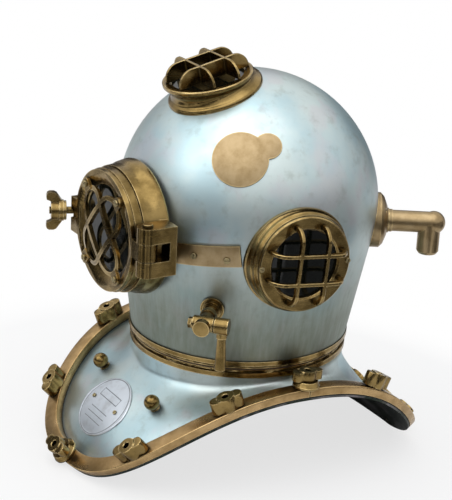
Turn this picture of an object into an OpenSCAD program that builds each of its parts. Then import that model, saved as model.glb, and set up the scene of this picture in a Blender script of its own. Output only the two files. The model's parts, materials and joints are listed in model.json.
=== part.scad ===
// Surface-supplied diving helmet: spun metal bonnet with four guarded ports on a saddle-shaped breastplate.
// Millimetres. +Z up, -Y is the front (face port), +X is the wearer's left.
// Z = 0 is the surface it stands on.

/* [Neck joint] */
// height of the neck joint above the standing surface
neck_height = 128; // [127:1:131]
// forward lean of the neck joint over the level rim
neck_tilt = 2.8; // [2:0.2:3.4]
// outer radius of the breastplate's neck ring
neck_ring_r = 124; // [120:1:128]
// height of each brass neck ring
neck_ring_h = 8.6; // [7:0.2:9]
// thickness of the leather washer between the rings
neck_gasket_h = 2.4; // [1.5:0.1:3]

/* [Bonnet] */
// how far the round crown stands out past the neck ring
bonnet_bulge = 22; // [20:1:24]
// height of the crown's centre above the neck joint
crown_height = 166; // [164:1:168]
// how far the crown sits behind the neck's axis
crown_back = 4.5; // [3:0.5:6]
// wall thickness of the spun metal
wall = 2.4; // [1.6:0.2:3]

/* [Breastplate] */
// half the width over the shoulders
rim_half_width = 156; // [152:1:160]
// reach of the front lobe
rim_front = 217; // [212:1:222]
// reach of the rear lobe
rim_rear = 216.6; // [212:0.2:221]
// how far the lobes hang below the shoulders
rim_fall = 117; // [114:1:118]
// width of the clamping brails
brail_w = 18; // [16:1:20]
// thickness of the clamping brails
brail_h = 9.5; // [8:0.5:10]

/* [Face port] */
// radius of the hinged door
door_r = 66.6; // [64:0.2:67]
// radius of the hinge pin
hinge_pin_r = 4; // [3:0.5:5]

/* [Side ports] */
// radius of the flat face ring
side_face_r = 52.9; // [50:0.1:54]
// half the distance between neighbouring guard bars
side_bar_offset = 15.5; // [13:0.5:17]

/* [Top port] */
// radius of the top port's rim
top_rim_r = 50; // [48:0.5:52]

/* [What is drawn] */
// node to draw, all draws every one

/* [Hidden] */
$fn = 96;

brass = [0.62, 0.44, 0.22];
tinned = [0.62, 0.67, 0.69];
dark_rubber = [0.07, 0.07, 0.07];
dark_glass = [0.05, 0.07, 0.08, 0.6];
screw_grey = [0.72, 0.73, 0.72];

// clearances
seat_gap = 0.05;
face_gap = 0.02;
layer_gap = 0.1;
run_gap = 0.05;
turn_gap = 0.4;
moving_gap = 0.7;
// cuts start well inside the bonnet and end well outside
deep = 60;
far = 300;

// neck joint stack, heights above the neck joint plane
lower_ring_top = neck_ring_h;
gasket_top = lower_ring_top + neck_gasket_h;
upper_ring_top = gasket_top + neck_ring_h;
neck_ring_w = 12;
neck_bore_r = neck_ring_r - neck_ring_w;
neck_lug_w = 4.5;
neck_lug_r = neck_bore_r - neck_lug_w;
neck_lug_angle = 42;
spigot_r = neck_lug_r - turn_gap;
spigot_wall = 4;
spigot_low = -5;
lug_h = 4;
upper_ring_lip = 1.6;
gasket_inset = 2.4;

// bonnet
bonnet_r = neck_ring_r + bonnet_bulge;
lean = 1.8;
shell_hole_margin = 2;
cone_half_angle = 9.2;

// saddle-shaped rim: squareness seen from above, and how its fall grows toward each end
front_square = 2.55;
rear_square = 3.13;
front_power = 2.31;
rear_power = 2.46;
shoulder_height = neck_height - 5;
collar_gasket_h = 1.2;
flange_h = 2.2;
stack_h = brail_h + collar_gasket_h;
rim_steps = 96;
slope_rows = 9;

// rim fasteners, angles are the rim's own parameter
plain_nut_angles = [16.5, 80, 100, 163.5, 200, 233, 307, 340];
flanged_nut_angles = [0, 90, 180, 270];
stud_r = 3.5;
nut_h = 17;
nut_boss_r = 9.5;
nut_lobe_r = 6.5;
nut_lobe_offset = 12;
nut_lobe_lift = 1.6;
nut_lobe_step = 1;
nut_web = 1.6 * nut_lobe_r;
nut_seat = 0.15;
nut_flange_r = 15;
nut_flange_h = 8;
flanged_nut_h = 12;

// face port, distances along its axis from the neck's axis
face_height = 151;
housing_front = 162;
door_gap = 0.3;
door_back = housing_front + door_gap;
face_gasket_r = 62;
face_gasket_bore_r = 57;
face_gasket_depth = 2;
door_step = 171.5;
door_front = 177;
face_bore_r = 54;
door_rim_r = door_r + 1.2;
door_glass_r = 56;
door_light_r = 50;
door_slope_r = 60;
door_glass_back = 164.8;
door_glass_front = 170;
hinge_x = 80;
hinge_t = 166;
hinge_mid = 2;
bolt_mid = -5;
housing_neck_r = 63;
housing_lip = 135;
housing_lip_r = 74.5;
block_back = 137;
block_in = 16;
block_h = 8;
lug_r = 11.5;
knuckle_r = 10.8;
knuckle_half = 9.6;
lug_half = 27;
pin_tail = 2;
pin_head = 1.6;
pin_head_h = 3;
bolt_x = -78;
bolt_t = 149;
bolt_lean = 22.5;
bolt_r = 4;
bolt_length = 50;
eye_r = 8;
eye_half = 4.6;
cheek_half = 13;
pivot_r = 3;
pivot_half = 14;
slot_reach = 20;
washer_at = 31;
washer_r = 11;
washer_h = 3;
wing_base_r = 12;
wing_base_h = 5;
wing_boss_r = 10.5;
wing_boss_h = 14;
wing_w = 8;
ear_half = 20;
ear_x = 79.3;
ear_l = 22;
ear_h = 14;
knuckle_root = 4;
guard_sphere_r = 227;
guard_depth = 5;
guard_bar_w = 5;
guard_line_offset = 20.3;
guard_end = 29;
guard_angle = 49;
guard_tab_r = 56.5;
guard_top = 184.5;
guard_foot_r = 6.5;
guard_foot_l = 9;
guard_foot_h = 3.5;
guard_screw_r = 1.6;
guard_screw_head_r = 3.6;
guard_screw_head_h = 2.2;

// side ports
side_height = 142.4;
side_bearing = 83.2;
side_front = 158;
side_base_r = 58.5;
side_bore_r = 38;
side_bar_top = 178.5;
side_bar_w = 4;
side_roll = 4;
side_base_h = 3.6;
side_drum_r = 57;
side_rim = 154;
side_glass_r = side_bore_r + 6;
side_glass_back = 146.5;
side_glass_front = 152.5;
side_seat_r = side_face_r - 5;
side_guard_half = 44;
side_guard_depth = 6;
side_guard_bend = 17;
side_screw_at = side_face_r - 2.7;
side_screw_r = 1.4;
side_screw_l = 9;
side_screw_head_r = 2.7;
side_screw_head_h = 2.2;
side_screw_sunk = 0.6;

// top port
top_back = 19.6;
top_tilt = 13.5;
top_rim_t = 321.4;
top_foot_tilt = 21;
top_foot_r = 53;
top_bore_r = 40;
top_ledge = 4;
top_band = 4.4;
top_foot_h = 4.5;
top_glass_front = top_rim_t - 5.4;
top_glass_back = top_glass_front - 5.5;
top_fin_offset = 15.5;
top_fin_half = 43;
top_fin_top = 340.5;
top_fin_round = 17;
top_fin_w = 3;

// spitcock
cock_bearing = 46;
cock_height = 83;
cock_out = 131.3;
cock_plug_at = 40;
cock_bore_r = 3;
cock_foot_r = 13;
cock_barrel_r = 7.6;
cock_tip_at = 46;
cock_tip_l = 7;
cock_cross_half = 11;
running_end = 0.3;
cock_stem_end = 17;
cock_head_r = 9;
cock_head_end = 27;
handle_neck = 13;
handle_l = 36;
cock_plug_r = 5;
cock_stem_r = 3;
cock_handle_at = 19.7;
cock_tip = 5;

// air elbow
elbow_bearing = 148.5;
elbow_height = 148;
elbow_bore_r = 8;
elbow_collar_r = 14;
elbow_tube_r = 12;
elbow_out = 210;
elbow_drop = 36;
elbow_bore_start = 8;
elbow_taper = 3;
elbow_barrel_r = 12.6;
elbow_knee_r = 13;
elbow_flange_r = 31;
elbow_flange_top = 161;
elbow_dimple_at = 23;
elbow_dimple_r = 2.2;

// exhaust valve
exhaust_bearing = -122;
exhaust_height = 96;
exhaust_r = 27;
exhaust_rim = 146;
exhaust_bore_r = 12;
exhaust_seat_r = 22;
exhaust_boss_r = 9;
exhaust_stem_r = 4;
exhaust_hole_r = 3;
exhaust_hole_at = 15;
exhaust_wheel_r = 17;
exhaust_grip_r = 4.5;

function spow(v, p) = sign(v) * pow(abs(v), p);
function rim_power(t) = 2 / (sin(t) < 0 ? front_square : rear_square);
function rim_x(t) = rim_half_width * spow(cos(t), rim_power(t));
function rim_y(t) = (sin(t) < 0 ? rim_front : rim_rear) * spow(sin(t), rim_power(t));
function reach(y) = min(1, abs(y) / (y < 0 ? rim_front : rim_rear));
function rim_z(y) = shoulder_height - rim_fall * pow(reach(y), y < 0 ? front_power : rear_power);
function rim_point(t) = [rim_x(t), rim_y(t), rim_z(rim_y(t))];
function rise_at(y) = y < 0 ? rim_fall * front_power / rim_front * pow(reach(y), front_power - 1)
    : -rim_fall * rear_power / rim_rear * pow(reach(y), rear_power - 1);
function unit(v) = v / norm(v);
function rim_up(t) = unit([0, -rise_at(rim_y(t)), 1]);
function rim_along(t) = let (n = rim_up(t), d = rim_point(t + 0.4) - rim_point(t - 0.4))
    unit(d - (d * n) * n);
function rim_in(t) = cross(rim_up(t), rim_along(t));
// a point of the rim, moved inward over its face and down through its layers
function rim_at(t, inward, down) = rim_point(t) + inward * rim_in(t) - down * rim_up(t);

// breastplate skin: from the neck's foot to the rim's inner edge, d is the offset below the outer skin
skin_inset = 2;
neck_skin_r = neck_ring_r - skin_inset;
// depth of the neck's foot at the shoulders, and what is added toward front and rear
foot_depth = 3;
foot_extra = 12;
inner_margin = 1;
function neck_point(r, t, z) = [r * cos(t), r * sin(t) * cos(neck_tilt) - z * sin(neck_tilt),
    neck_height + r * sin(t) * sin(neck_tilt) + z * cos(neck_tilt)];
function skin_start(t, d) =
    neck_point(neck_skin_r - d, t, -foot_depth - foot_extra * pow(abs(sin(t)), 1.5));
function skin_end(t, d) = rim_at(t, brail_w + inner_margin, stack_h + d);
// how far the skin bulges before it meets the rim, most at the front
function belly(t) = 0.175 * (1 - sin(t));
function skin_row(t, s, d) =
    let (a = skin_start(t, d), e = skin_end(t, d), len = norm(e - a),
        b = a - [0, 0, 0.12 * len], c = e + 0.55 * len * unit(rim_in(t) + belly(t) * rim_up(t)), u = 1 - s)
    u * u * u * a + 3 * u * u * s * b + 3 * u * s * s * c + s * s * s * e;
function skin_line(t, d) = concat(
    [neck_point(neck_skin_r - d, t, 0)],
    [for (k = [0 : slope_rows]) skin_row(t, k / slope_rows, d)],
    [rim_at(t, 0, stack_h + d)]);
// outward normal of the skin at a place
function skin_normal(t, s, d) = let (e = 0.02,
        along = skin_row(t + 1, s, d) - skin_row(t - 1, s, d),
        down = skin_row(t, s + e, d) - skin_row(t, s - e, d))
    unit(cross(down, along));

// how far a hole's cut runs past a thin wall
cut = 8;

// closed loft of equal rows of points, each row a closed loop
module loft_ring(rows) {
    n = len(rows);
    m = len(rows[0]);
    points = [for (row = rows) for (p = row) p];
    faces = [for (i = [0 : n - 1]) for (j = [0 : m - 1])
        let (a = i * m + j, b = i * m + (j + 1) % m,
            c = ((i + 1) % n) * m + (j + 1) % m, d = ((i + 1) % n) * m + j)
        each [[a, b, c], [a, c, d]]];
    polyhedron(points = points, faces = faces, convexity = 10);
}

// open loft with two end caps
module loft_bar(rows) {
    n = len(rows);
    m = len(rows[0]);
    points = [for (row = rows) for (p = row) p];
    sides = [for (i = [0 : n - 2]) for (j = [0 : m - 1])
        let (a = i * m + j, b = i * m + (j + 1) % m, c = (i + 1) * m + (j + 1) % m, d = (i + 1) * m + j)
        each [[a, b, c], [a, c, d]]];
    caps = [[for (j = [m - 1 : -1 : 0]) j], [for (j = [0 : m - 1]) (n - 1) * m + j]];
    polyhedron(points = points, faces = concat(sides, caps), convexity = 10);
}

function turn(k) = k * 360 / rim_steps;
function strap_section(t, from, to, top, bottom) =
    [rim_at(t, from, top), rim_at(t, to, top), rim_at(t, to, bottom), rim_at(t, from, bottom)];

// places children at a point with their z axis along n and their x axis near x
module stand(p, n, x) {
    y = unit(cross(n, x));
    z = unit(n);
    u = cross(y, z);
    multmatrix([[u[0], y[0], z[0], p[0]], [u[1], y[1], z[1], p[1]], [u[2], y[2], z[2], p[2]], [0, 0, 0, 1]])
        children();
}

// on the rim's clamping face, x along the rim
module on_rim(t, down = 0) stand(rim_at(t, brail_w / 2, down), rim_up(t), rim_along(t)) children();

// on the breastplate's skin
module on_skin(t, s) stand(skin_row(t, s, 0), skin_normal(t, s, 0),
    skin_row(t + 1, s, 0) - skin_row(t - 1, s, 0))
    children();

module at_neck() translate([0, 0, neck_height]) rotate([neck_tilt, 0, 0]) children();

// x right seen from outside, y up, z outward
module port_axis(bearing, height) at_neck() translate([0, 0, height]) rotate([0, 0, bearing])
    rotate([90, 0, 0])
    children();

module top_axis() at_neck() translate([0, top_back, 0]) rotate([top_tilt, 0, 0]) children();

// solid shape of the bonnet, grown by d
module bonnet_form(d = 0) {
    r = bonnet_r + d;
    low = crown_height - gasket_top + 12;
    // turned so that the seam of the round faces lies at the back, clear of every port
    at_neck() translate([0, crown_back, crown_height]) rotate([-lean, 0, 0]) rotate([0, 0, 90]) {
        sphere(r = r, $fn = 128);
        translate([0, 0, -low]) cylinder(h = low - r * sin(cone_half_angle),
            r1 = r / cos(cone_half_angle) - low * tan(cone_half_angle),
            r2 = r * cos(cone_half_angle), $fn = 128);
    }
}

module rod(r, from, to) translate([0, 0, from]) cylinder(h = to - from, r = r);
module tube(outer, inner, from, to) difference() {
    rod(outer, from, to);
    rod(inner, from - 1, to + 1);
}

// slotted screw, head on z = 0
module slotted_screw(head_r, head_h, shank_r, length) {
    slot_w = 0.28 * head_r;
    difference() {
        rod(head_r, 0, head_h);
        translate([-head_r - 1, -slot_w / 2, 0.6 * head_h]) cube([2 * head_r + 2, slot_w, head_h]);
    }
    rod(shank_r, -length, 0.01);
}

// everything under the surface that the part stands on
module below_ground() translate([-far, -far, -deep]) cube([2 * far, 2 * far, deep]);

module breastplate_shell() color(tinned) difference() {
    loft_ring([for (k = [0 : rim_steps - 1])
        let (t = turn(k), outer = skin_line(t, 0), inner = skin_line(t, flange_h))
        concat(outer, [for (j = [len(inner) - 1 : -1 : 0]) inner[j]])]);
    for (t = concat(plain_nut_angles, flanged_nut_angles)) on_rim(t, stack_h)
        rod(stud_r + seat_gap, -cut, cut);
    for (t = lanyard_angles) on_skin(t, lanyard_along) rod(lanyard_stalk_r + seat_gap, -cut, cut);
    nameplate_screw_places() rod(plate_screw_r + seat_gap, -cut, cut);
    below_ground();
}

module collar_gasket() color(dark_rubber) difference() {
    loft_ring([for (k = [0 : rim_steps - 1])
        strap_section(turn(k), gasket_edge, brail_w, brail_h + layer_gap, stack_h - layer_gap)]);
    for (t = concat(plain_nut_angles, flanged_nut_angles)) on_rim(t)
        rod(stud_r + seat_gap, -stack_h - cut, cut);
    below_ground();
}
gasket_edge = 0.6;

brail_steps = 24;
brail_gap = 0.01;
module brail(quarter) color(brass) difference() {
    loft_bar([for (k = [0 : brail_steps])
        strap_section(quarter * 90 + brail_gap + k * (90 - 2 * brail_gap) / brail_steps,
            0, brail_w, 0, brail_h)]);
    for (t = concat(plain_nut_angles, flanged_nut_angles, [360])) if (abs(t - quarter * 90 - 45) < 50)
        on_rim(t) rod(stud_r + seat_gap, -brail_h - cut, cut);
    below_ground();
}
module brail_rear_left() brail(0);
module brail_rear_right() brail(1);
module brail_front_right() brail(2);
module brail_front_left() brail(3);

// the studs end inside their nuts
stud_short = 5;
module rim_studs() color(brass) {
    for (t = plain_nut_angles) on_rim(t) rod(stud_r, -stack_h - flange_h, nut_h - stud_short);
    for (t = flanged_nut_angles) on_rim(t)
        rod(stud_r, -stack_h - flange_h, nut_flange_h + flanged_nut_h - stud_short);
}

module nut_body(from, height) difference() {
    lobe_top = height - nut_lobe_step;
    union() {
        rod(nut_boss_r, from, from + height);
        for (s = [-1, 1]) {
            translate([s * nut_lobe_offset, 0, 0])
                rod(nut_lobe_r, from + nut_lobe_lift, from + lobe_top);
            translate([(s - 1) * nut_lobe_offset / 2, -nut_web / 2, from + nut_lobe_lift])
                cube([nut_lobe_offset, nut_web, lobe_top - nut_lobe_lift]);
        }
    }
    rod(stud_r + seat_gap, from - cut, from + height + cut);
}
module plain_nuts() color(brass) for (t = plain_nut_angles) on_rim(t) nut_body(nut_seat, nut_h);
module flanged_nuts() color(brass) for (t = flanged_nut_angles) on_rim(t) {
    nut_body(nut_flange_h, flanged_nut_h);
    tube(nut_flange_r, stud_r + seat_gap, nut_seat, nut_flange_h + face_gap);
}

lanyard_angles = [236, 304];
lanyard_along = 0.55;
lanyard_stalk_r = 4;
lanyard_ball_r = 8.8;
lanyard_ball_at = 9.5;
module lanyard_studs() color(brass) for (t = lanyard_angles) on_skin(t, lanyard_along) {
    rod(lanyard_stalk_r, -flange_h, lanyard_ball_at);
    translate([0, 0, lanyard_ball_at]) sphere(r = lanyard_ball_r);
}

nameplate_t = 270;
nameplate_s = 0.67;
nameplate_r = 41;
nameplate_flat = 4;
nameplate_screw_turn = 10.5;
nameplate_h = 1.6;
plate_screw_r = 1.2;
plate_screw_head_r = 2.4;
plate_screw_head_h = 1.1;
plate_screw_l = 4;
nameplate_steps = 12;
nameplate_row = 3;
module nameplate_screw_places() for (side = [-1, 1]) {
    on_skin(nameplate_t + side * nameplate_screw_turn, nameplate_s) children();
}
module nameplate() color(screw_grey) difference() {
    intersection() {
        intersection_for (side = [-1, 1]) on_skin(nameplate_t, nameplate_s)
            translate([0, side * nameplate_flat, 0])
            rod(nameplate_r, -nameplate_r / 2, nameplate_r / 2);
        loft_bar([for (k = [0 : nameplate_steps])
            let (t = turn(k + (nameplate_t * rim_steps / 360 - nameplate_steps / 2)))
            concat([for (j = [nameplate_row : slope_rows]) skin_row(t, j / slope_rows, -nameplate_h)],
                [for (j = [slope_rows : -1 : nameplate_row]) skin_row(t, j / slope_rows, -seat_gap)])]);
    }
    nameplate_screw_places() rod(plate_screw_r + seat_gap, -cut, cut);
}
module nameplate_screws() color(screw_grey) nameplate_screw_places()
    translate([0, 0, nameplate_h + layer_gap])
        slotted_screw(plate_screw_head_r, plate_screw_head_h, plate_screw_r, plate_screw_l);

// four lugs of the interrupted neck joint
lug_root = 0.5;
module neck_lugs(inner, outer, from, to) for (k = [0 : 3]) rotate([0, 0, 45 + 90 * k])
    rotate_extrude(angle = neck_lug_angle) translate([inner, from]) square([outer - inner, to - from]);

module breastplate_neck_ring() color(brass) at_neck() {
    tube(neck_ring_r, neck_bore_r, face_gap, lower_ring_top);
    neck_lugs(neck_lug_r, neck_bore_r + lug_root, lower_ring_top - lug_h, lower_ring_top);
}

module neck_gasket() color(dark_rubber) at_neck()
    tube(neck_ring_r - gasket_inset, neck_bore_r, lower_ring_top + face_gap, gasket_top - face_gap);

module bonnet_neck_ring() color(brass) at_neck() {
    tube(neck_ring_r + upper_ring_lip, spigot_r - spigot_wall, gasket_top, upper_ring_top);
    tube(spigot_r, spigot_r - spigot_wall, spigot_low, gasket_top + face_gap);
    neck_lugs(spigot_r - lug_root, neck_bore_r - turn_gap, spigot_low, lower_ring_top - lug_h - turn_gap);
}

module bonnet_shell() color(tinned) difference() {
    bonnet_form(0);
    bonnet_form(-wall);
    at_neck() translate([-far, -far, -far]) cube([2 * far, 2 * far, far + upper_ring_top + face_gap]);
    port_axis(0, face_height) rod(face_bore_r + shell_hole_margin, deep, far);
    for (side = [-1, 1]) port_axis(side * side_bearing, side_height)
        rod(side_bore_r + 2 * shell_hole_margin, deep, far);
    top_axis() rod(top_bore_r + 2 * shell_hole_margin, deep + crown_height, far + crown_height);
    port_axis(cock_bearing, cock_height) rod(cock_bore_r, deep, far);
    port_axis(elbow_bearing, elbow_height) rod(elbow_bore_r, deep, far);
    port_axis(exhaust_bearing, exhaust_height) rod(exhaust_bore_r, deep, far);
    for (m = [0, 1]) mirror([m, 0, 0]) strap_screw_places() rod(strap_screw_r + seat_gap, -cut, cut);
}

// thin piece laid on the bonnet: the children's outline, from the skin out to a thickness
module laid_on(thick) difference() {
    intersection() {
        bonnet_form(thick);
        children();
    }
    bonnet_form(face_gap);
}

// doubling plate on the crown, a disc with a rounded ear
plate_h = 1.8;
plate_r = 30;
plate_turn = 53;
plate_rise = 33.6;
plate_ear_r = 14.5;
plate_ear_x = 27.5;
plate_ear_y = 17.4;
module bonnet_plate() color(brass) laid_on(plate_h)
    at_neck() translate([0, crown_back, crown_height]) rotate([0, 0, plate_turn])
        rotate([90 - plate_rise, 0, 0]) {
        rod(plate_r, deep, far);
        translate([plate_ear_x, plate_ear_y, 0]) rod(plate_ear_r, deep, far);
    }

strap_bearing = 39;
strap_height = 143.5;
strap_w = 24;
strap_h = 2.6;
strap_screw_bearings = [37.5, 52];
strap_gap = 0.3;
strap_screw_r = 1.6;
strap_screw_head_r = 3.4;
strap_screw_head_h = 1.4;
strap_screw_l = 4;
strap_screw_lift = 0.15;
strap_slope = 5.5;
strap_reach = 60;
strap_end = 46.5;
module strap_block() port_axis(strap_bearing, strap_height) rotate([0, 0, strap_slope])
    translate([-strap_reach, -strap_w / 2, deep]) cube([strap_reach + strap_end, strap_w, far]);
module strap_side(mirrored) mirror([mirrored, 0, 0]) difference() {
    laid_on(strap_h) strap_block();
    port_axis(0, face_height) rod(housing_neck_r + strap_gap, deep, far);
    port_axis(side_bearing, side_height) rod(side_base_r + strap_gap, deep, far);
    strap_screw_places() rod(strap_screw_r + seat_gap, -cut, cut);
}
// distance of the strap's face from the neck's axis
function strap_face(b) = bonnet_r / cos(cone_half_angle)
    - (crown_height - strap_height) * tan(cone_half_angle)
    - 0.85 * crown_back * cos(b) + strap_h + strap_screw_lift;
module strap_screw_places() for (b = strap_screw_bearings)
    port_axis(b, strap_height - 1) translate([0, 0, strap_face(b)]) children();
module port_straps() color(brass) {
    strap_side(0);
    strap_side(1);
}
module strap_screws() color(screw_grey) for (m = [0, 1]) mirror([m, 0, 0]) strap_screw_places()
    slotted_screw(strap_screw_head_r, strap_screw_head_h, strap_screw_r, strap_screw_l);

// revolved ring from outline points of radius and distance
module turned(outline) rotate_extrude() polygon(outline);

module hinge_lugs() {
    for (s = [-1, 1]) translate([hinge_x, hinge_mid, hinge_t]) rotate([90, 0, 0]) {
        from = s > 0 ? knuckle_half + turn_gap : -lug_half;
        to = s > 0 ? lug_half : -knuckle_half - turn_gap;
        rod(lug_r, from, to);
        translate([-lug_r, block_back - hinge_t, from]) cube([2 * lug_r, hinge_t - block_back, to - from]);
    }
    translate([hinge_x - block_in, hinge_mid - lug_half, block_back])
        cube([block_in + lug_r, 2 * lug_half, block_h]);
}

// two ears that carry the swing bolt's pivot
module bolt_ears() {
    translate([bolt_x - eye_r, bolt_mid - cheek_half, housing_lip])
        cube([3 * eye_r, 2 * cheek_half, bolt_t - housing_lip]);
    translate([bolt_x, bolt_mid, bolt_t]) rotate([90, 0, 0]) rod(eye_r, -cheek_half, cheek_half);
}

module face_port_housing() color(brass) difference() {
    port_axis(0, face_height) difference() {
        union() {
            turned([[face_bore_r, deep], [housing_neck_r, deep], [housing_neck_r, housing_lip - 1.5],
                [housing_lip_r - 0.5, housing_lip - 0.5], [housing_lip_r, housing_lip + 2],
                [housing_lip_r - 2.1, housing_front - 15], [housing_lip_r - 3.7, housing_front - 12.5],
                [housing_lip_r - 5, housing_front], [face_bore_r, housing_front]]);
            hinge_lugs();
            bolt_ears();
        }
        // slot for the swing bolt's eye
        translate([bolt_x - slot_reach, bolt_mid - eye_half - turn_gap, bolt_t - eye_r - 1.5])
            cube([slot_reach + eye_r + 0.6, 2 * (eye_half + turn_gap), far]);
        translate([bolt_x, bolt_mid, bolt_t]) rotate([90, 0, 0]) rod(pivot_r + seat_gap, -deep, deep);
        translate([hinge_x, hinge_mid, hinge_t]) rotate([90, 0, 0])
            rod(hinge_pin_r + seat_gap, -deep, deep);
        rod(face_bore_r, 0, far);
        tube(face_gasket_r + seat_gap, face_gasket_bore_r - seat_gap,
            housing_front - face_gasket_depth, far);
        // keep the moving knuckle and door edge free
        translate([hinge_x, hinge_mid, hinge_t]) rotate([90, 0, 0])
            rod(knuckle_r + moving_gap, -knuckle_half - turn_gap, knuckle_half + turn_gap);
        rod(door_rim_r + moving_gap, housing_front, far);
    }
    bonnet_form(face_gap);
}

module face_port_gasket() color(dark_rubber) port_axis(0, face_height)
    tube(face_gasket_r, face_gasket_bore_r, housing_front - face_gasket_depth + face_gap,
        housing_front + door_gap / 2);

module door_hinge_pin() color(brass) port_axis(0, face_height) translate([hinge_x, hinge_mid, hinge_t])
    rotate([90, 0, 0]) {
        rod(hinge_pin_r, -lug_half - face_gap, lug_half + pin_tail);
        rod(hinge_pin_r + pin_head, -lug_half - pin_head_h, -lug_half - face_gap);
    }

module bolt_pivot_pin() color(brass) port_axis(0, face_height) translate([bolt_x, bolt_mid, bolt_t])
    rotate([90, 0, 0]) rod(pivot_r, -pivot_half, pivot_half);

module door_frame() color(brass) port_axis(0, face_height) difference() {
    union() {
        turned([[door_light_r, door_glass_front], [door_light_r, door_glass_front + 1.5],
            [door_slope_r, door_front],
            [door_r, door_front], [door_r, door_step], [door_rim_r, door_step], [door_rim_r, door_back],
            [door_glass_r, door_back], [door_glass_r, door_glass_front]]);
        // hinge knuckle
        translate([hinge_x, hinge_mid, hinge_t]) rotate([90, 0, 0])
            rod(knuckle_r, -knuckle_half, knuckle_half);
        translate([door_r - knuckle_root, hinge_mid - knuckle_half, door_back + 1])
            cube([hinge_x - door_r + knuckle_root, 2 * knuckle_half, hinge_t + knuckle_r - door_back - 1]);
        // slotted ear for the swing bolt
        translate([-ear_x, bolt_mid - ear_half, door_back + 0.5]) cube([ear_l, 2 * ear_half, ear_h]);
    }
    rod(door_glass_r, deep, door_glass_front);
    rod(door_light_r, deep, far);
    translate([hinge_x, hinge_mid, hinge_t]) rotate([90, 0, 0]) rod(hinge_pin_r + run_gap, -deep, deep);
    translate([bolt_x, bolt_mid, 0]) rod(bolt_r + moving_gap, deep, far);
    translate([bolt_x - slot_reach, bolt_mid - bolt_r - moving_gap, deep])
        cube([slot_reach, 2 * (bolt_r + moving_gap), far]);
    guard_screw_places() rod(guard_screw_r + seat_gap, -cut, cut);
}

module door_glass() color(dark_glass) port_axis(0, face_height)
    rod(door_glass_r - seat_gap, door_glass_back, door_glass_front - face_gap);

module door_glass_ring() color(brass) port_axis(0, face_height)
    tube(door_glass_r - seat_gap, door_light_r - 1, door_back, door_glass_back - face_gap);

// two long loops crossing as a diamond
module loop_outline() difference() {
    long_round(guard_end, guard_line_offset + guard_bar_w / 2);
    long_round(guard_end, guard_line_offset - guard_bar_w / 2);
}
module long_round(half, r) {
    for (s = [-1, 1]) translate([s * half, 0]) circle(r = r);
    square([2 * half, 2 * r], center = true);
}
module guard_screw_places() for (a = [guard_angle, 180 - guard_angle, 180 + guard_angle, -guard_angle])
    translate([guard_tab_r * cos(a), guard_tab_r * sin(a), door_front]) children();
module door_guard() color(brass) port_axis(0, face_height) difference() {
    union() {
        intersection() {
            for (a = [-guard_angle, guard_angle]) rotate([0, 0, a]) translate([0, 0, door_front])
                linear_extrude(guard_top) loop_outline();
            translate([0, 0, guard_top - guard_sphere_r]) difference() {
                sphere(r = guard_sphere_r, $fn = 180);
                sphere(r = guard_sphere_r - guard_depth, $fn = 180);
            }
            rod(2 * door_r, door_front + face_gap, far);
        }
        for (a = [guard_angle, 180 - guard_angle, 180 + guard_angle, -guard_angle]) rotate([0, 0, a]) {
            translate([guard_tab_r, 0, 0])
                rod(guard_foot_r, door_front + face_gap, door_front + guard_foot_h);
            translate([guard_tab_r - guard_foot_l, -guard_foot_r, door_front + face_gap])
                cube([guard_foot_l, 2 * guard_foot_r, guard_foot_h - face_gap]);
        }
    }
    guard_screw_places() rod(guard_screw_r + seat_gap, -cut, 2 * cut);
}
module door_guard_screws() color(screw_grey) port_axis(0, face_height) guard_screw_places()
    translate([0, 0, guard_foot_h + face_gap])
        slotted_screw(guard_screw_head_r, guard_screw_head_h, guard_screw_r, cut);

// swing bolt, modelled upright then leaned out of the ear
module bolt_frame() port_axis(0, face_height) translate([bolt_x, bolt_mid, bolt_t])
    rotate([0, -bolt_lean, 0])
    children();
module swing_bolt() color(brass) bolt_frame() difference() {
    union() {
        rotate([90, 0, 0]) rod(eye_r, -eye_half, eye_half);
        rod(bolt_r, eye_r / 2, bolt_length);
    }
    rotate([90, 0, 0]) rod(pivot_r + run_gap, -cut, cut);
}
module bolt_washer() color(brass) bolt_frame()
    tube(washer_r, bolt_r + run_gap, washer_at, washer_at + washer_h);
module wing_nut() color(brass) bolt_frame() translate([0, 0, washer_at + washer_h + run_gap]) difference() {
    union() {
        rod(wing_base_r, 0, wing_base_h);
        rod(wing_boss_r, wing_base_h - 0.1, wing_boss_h);
        for (s = [-1, 1]) rotate([90, 0, 90]) translate([0, 0, -wing_w / 2])
            linear_extrude(wing_w) polygon([[s * 6, 1.5], [s * 12, 2], [s * 20.5, 8], [s * 22, 11],
                [s * 22, 16],
                [s * 20.5, 18.5], [s * 17.5, 19.5], [s * 13.5, 19], [s * 12.3, 16], [s * 10.5, 13],
                    [s * 6, 12]]);
    }
    rod(bolt_r + run_gap, -cut, deep);
}

// side ports
module side_port(side) color(brass) difference() {
    port_axis(side * side_bearing, side_height) difference() {
        turned([[side_bore_r + shell_hole_margin, deep], [side_drum_r, deep], [side_drum_r,
            side_rim - 10.5],
            [side_drum_r - 1.4, side_rim - 9], [side_drum_r - 1.4, side_rim - 4.5], [side_drum_r - 2.8,
                side_rim - 3],
            [side_face_r + 0.6, side_rim], [side_seat_r + seat_gap, side_rim], [side_seat_r + seat_gap,
                side_glass_front],
            [side_glass_r, side_glass_front], [side_glass_r, side_glass_back],
            [side_bore_r + shell_hole_margin, side_glass_back]]);
        side_screw_places() rod(side_screw_r + seat_gap, -side_screw_l, cut);
    }
    bonnet_form(face_gap);
}
module side_base(side) difference() {
    laid_on(side_base_h) port_axis(side * side_bearing, side_height) rod(side_base_r, deep, far);
    port_axis(side * side_bearing, side_height) rod(side_drum_r, deep, far);
}
module side_port_whole(side) {
    side_port(side);
    color(brass) side_base(side);
}
module side_glass(side) color(dark_glass) port_axis(side * side_bearing, side_height)
    rod(side_glass_r - seat_gap, side_glass_back + face_gap, side_glass_front - face_gap);
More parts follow.
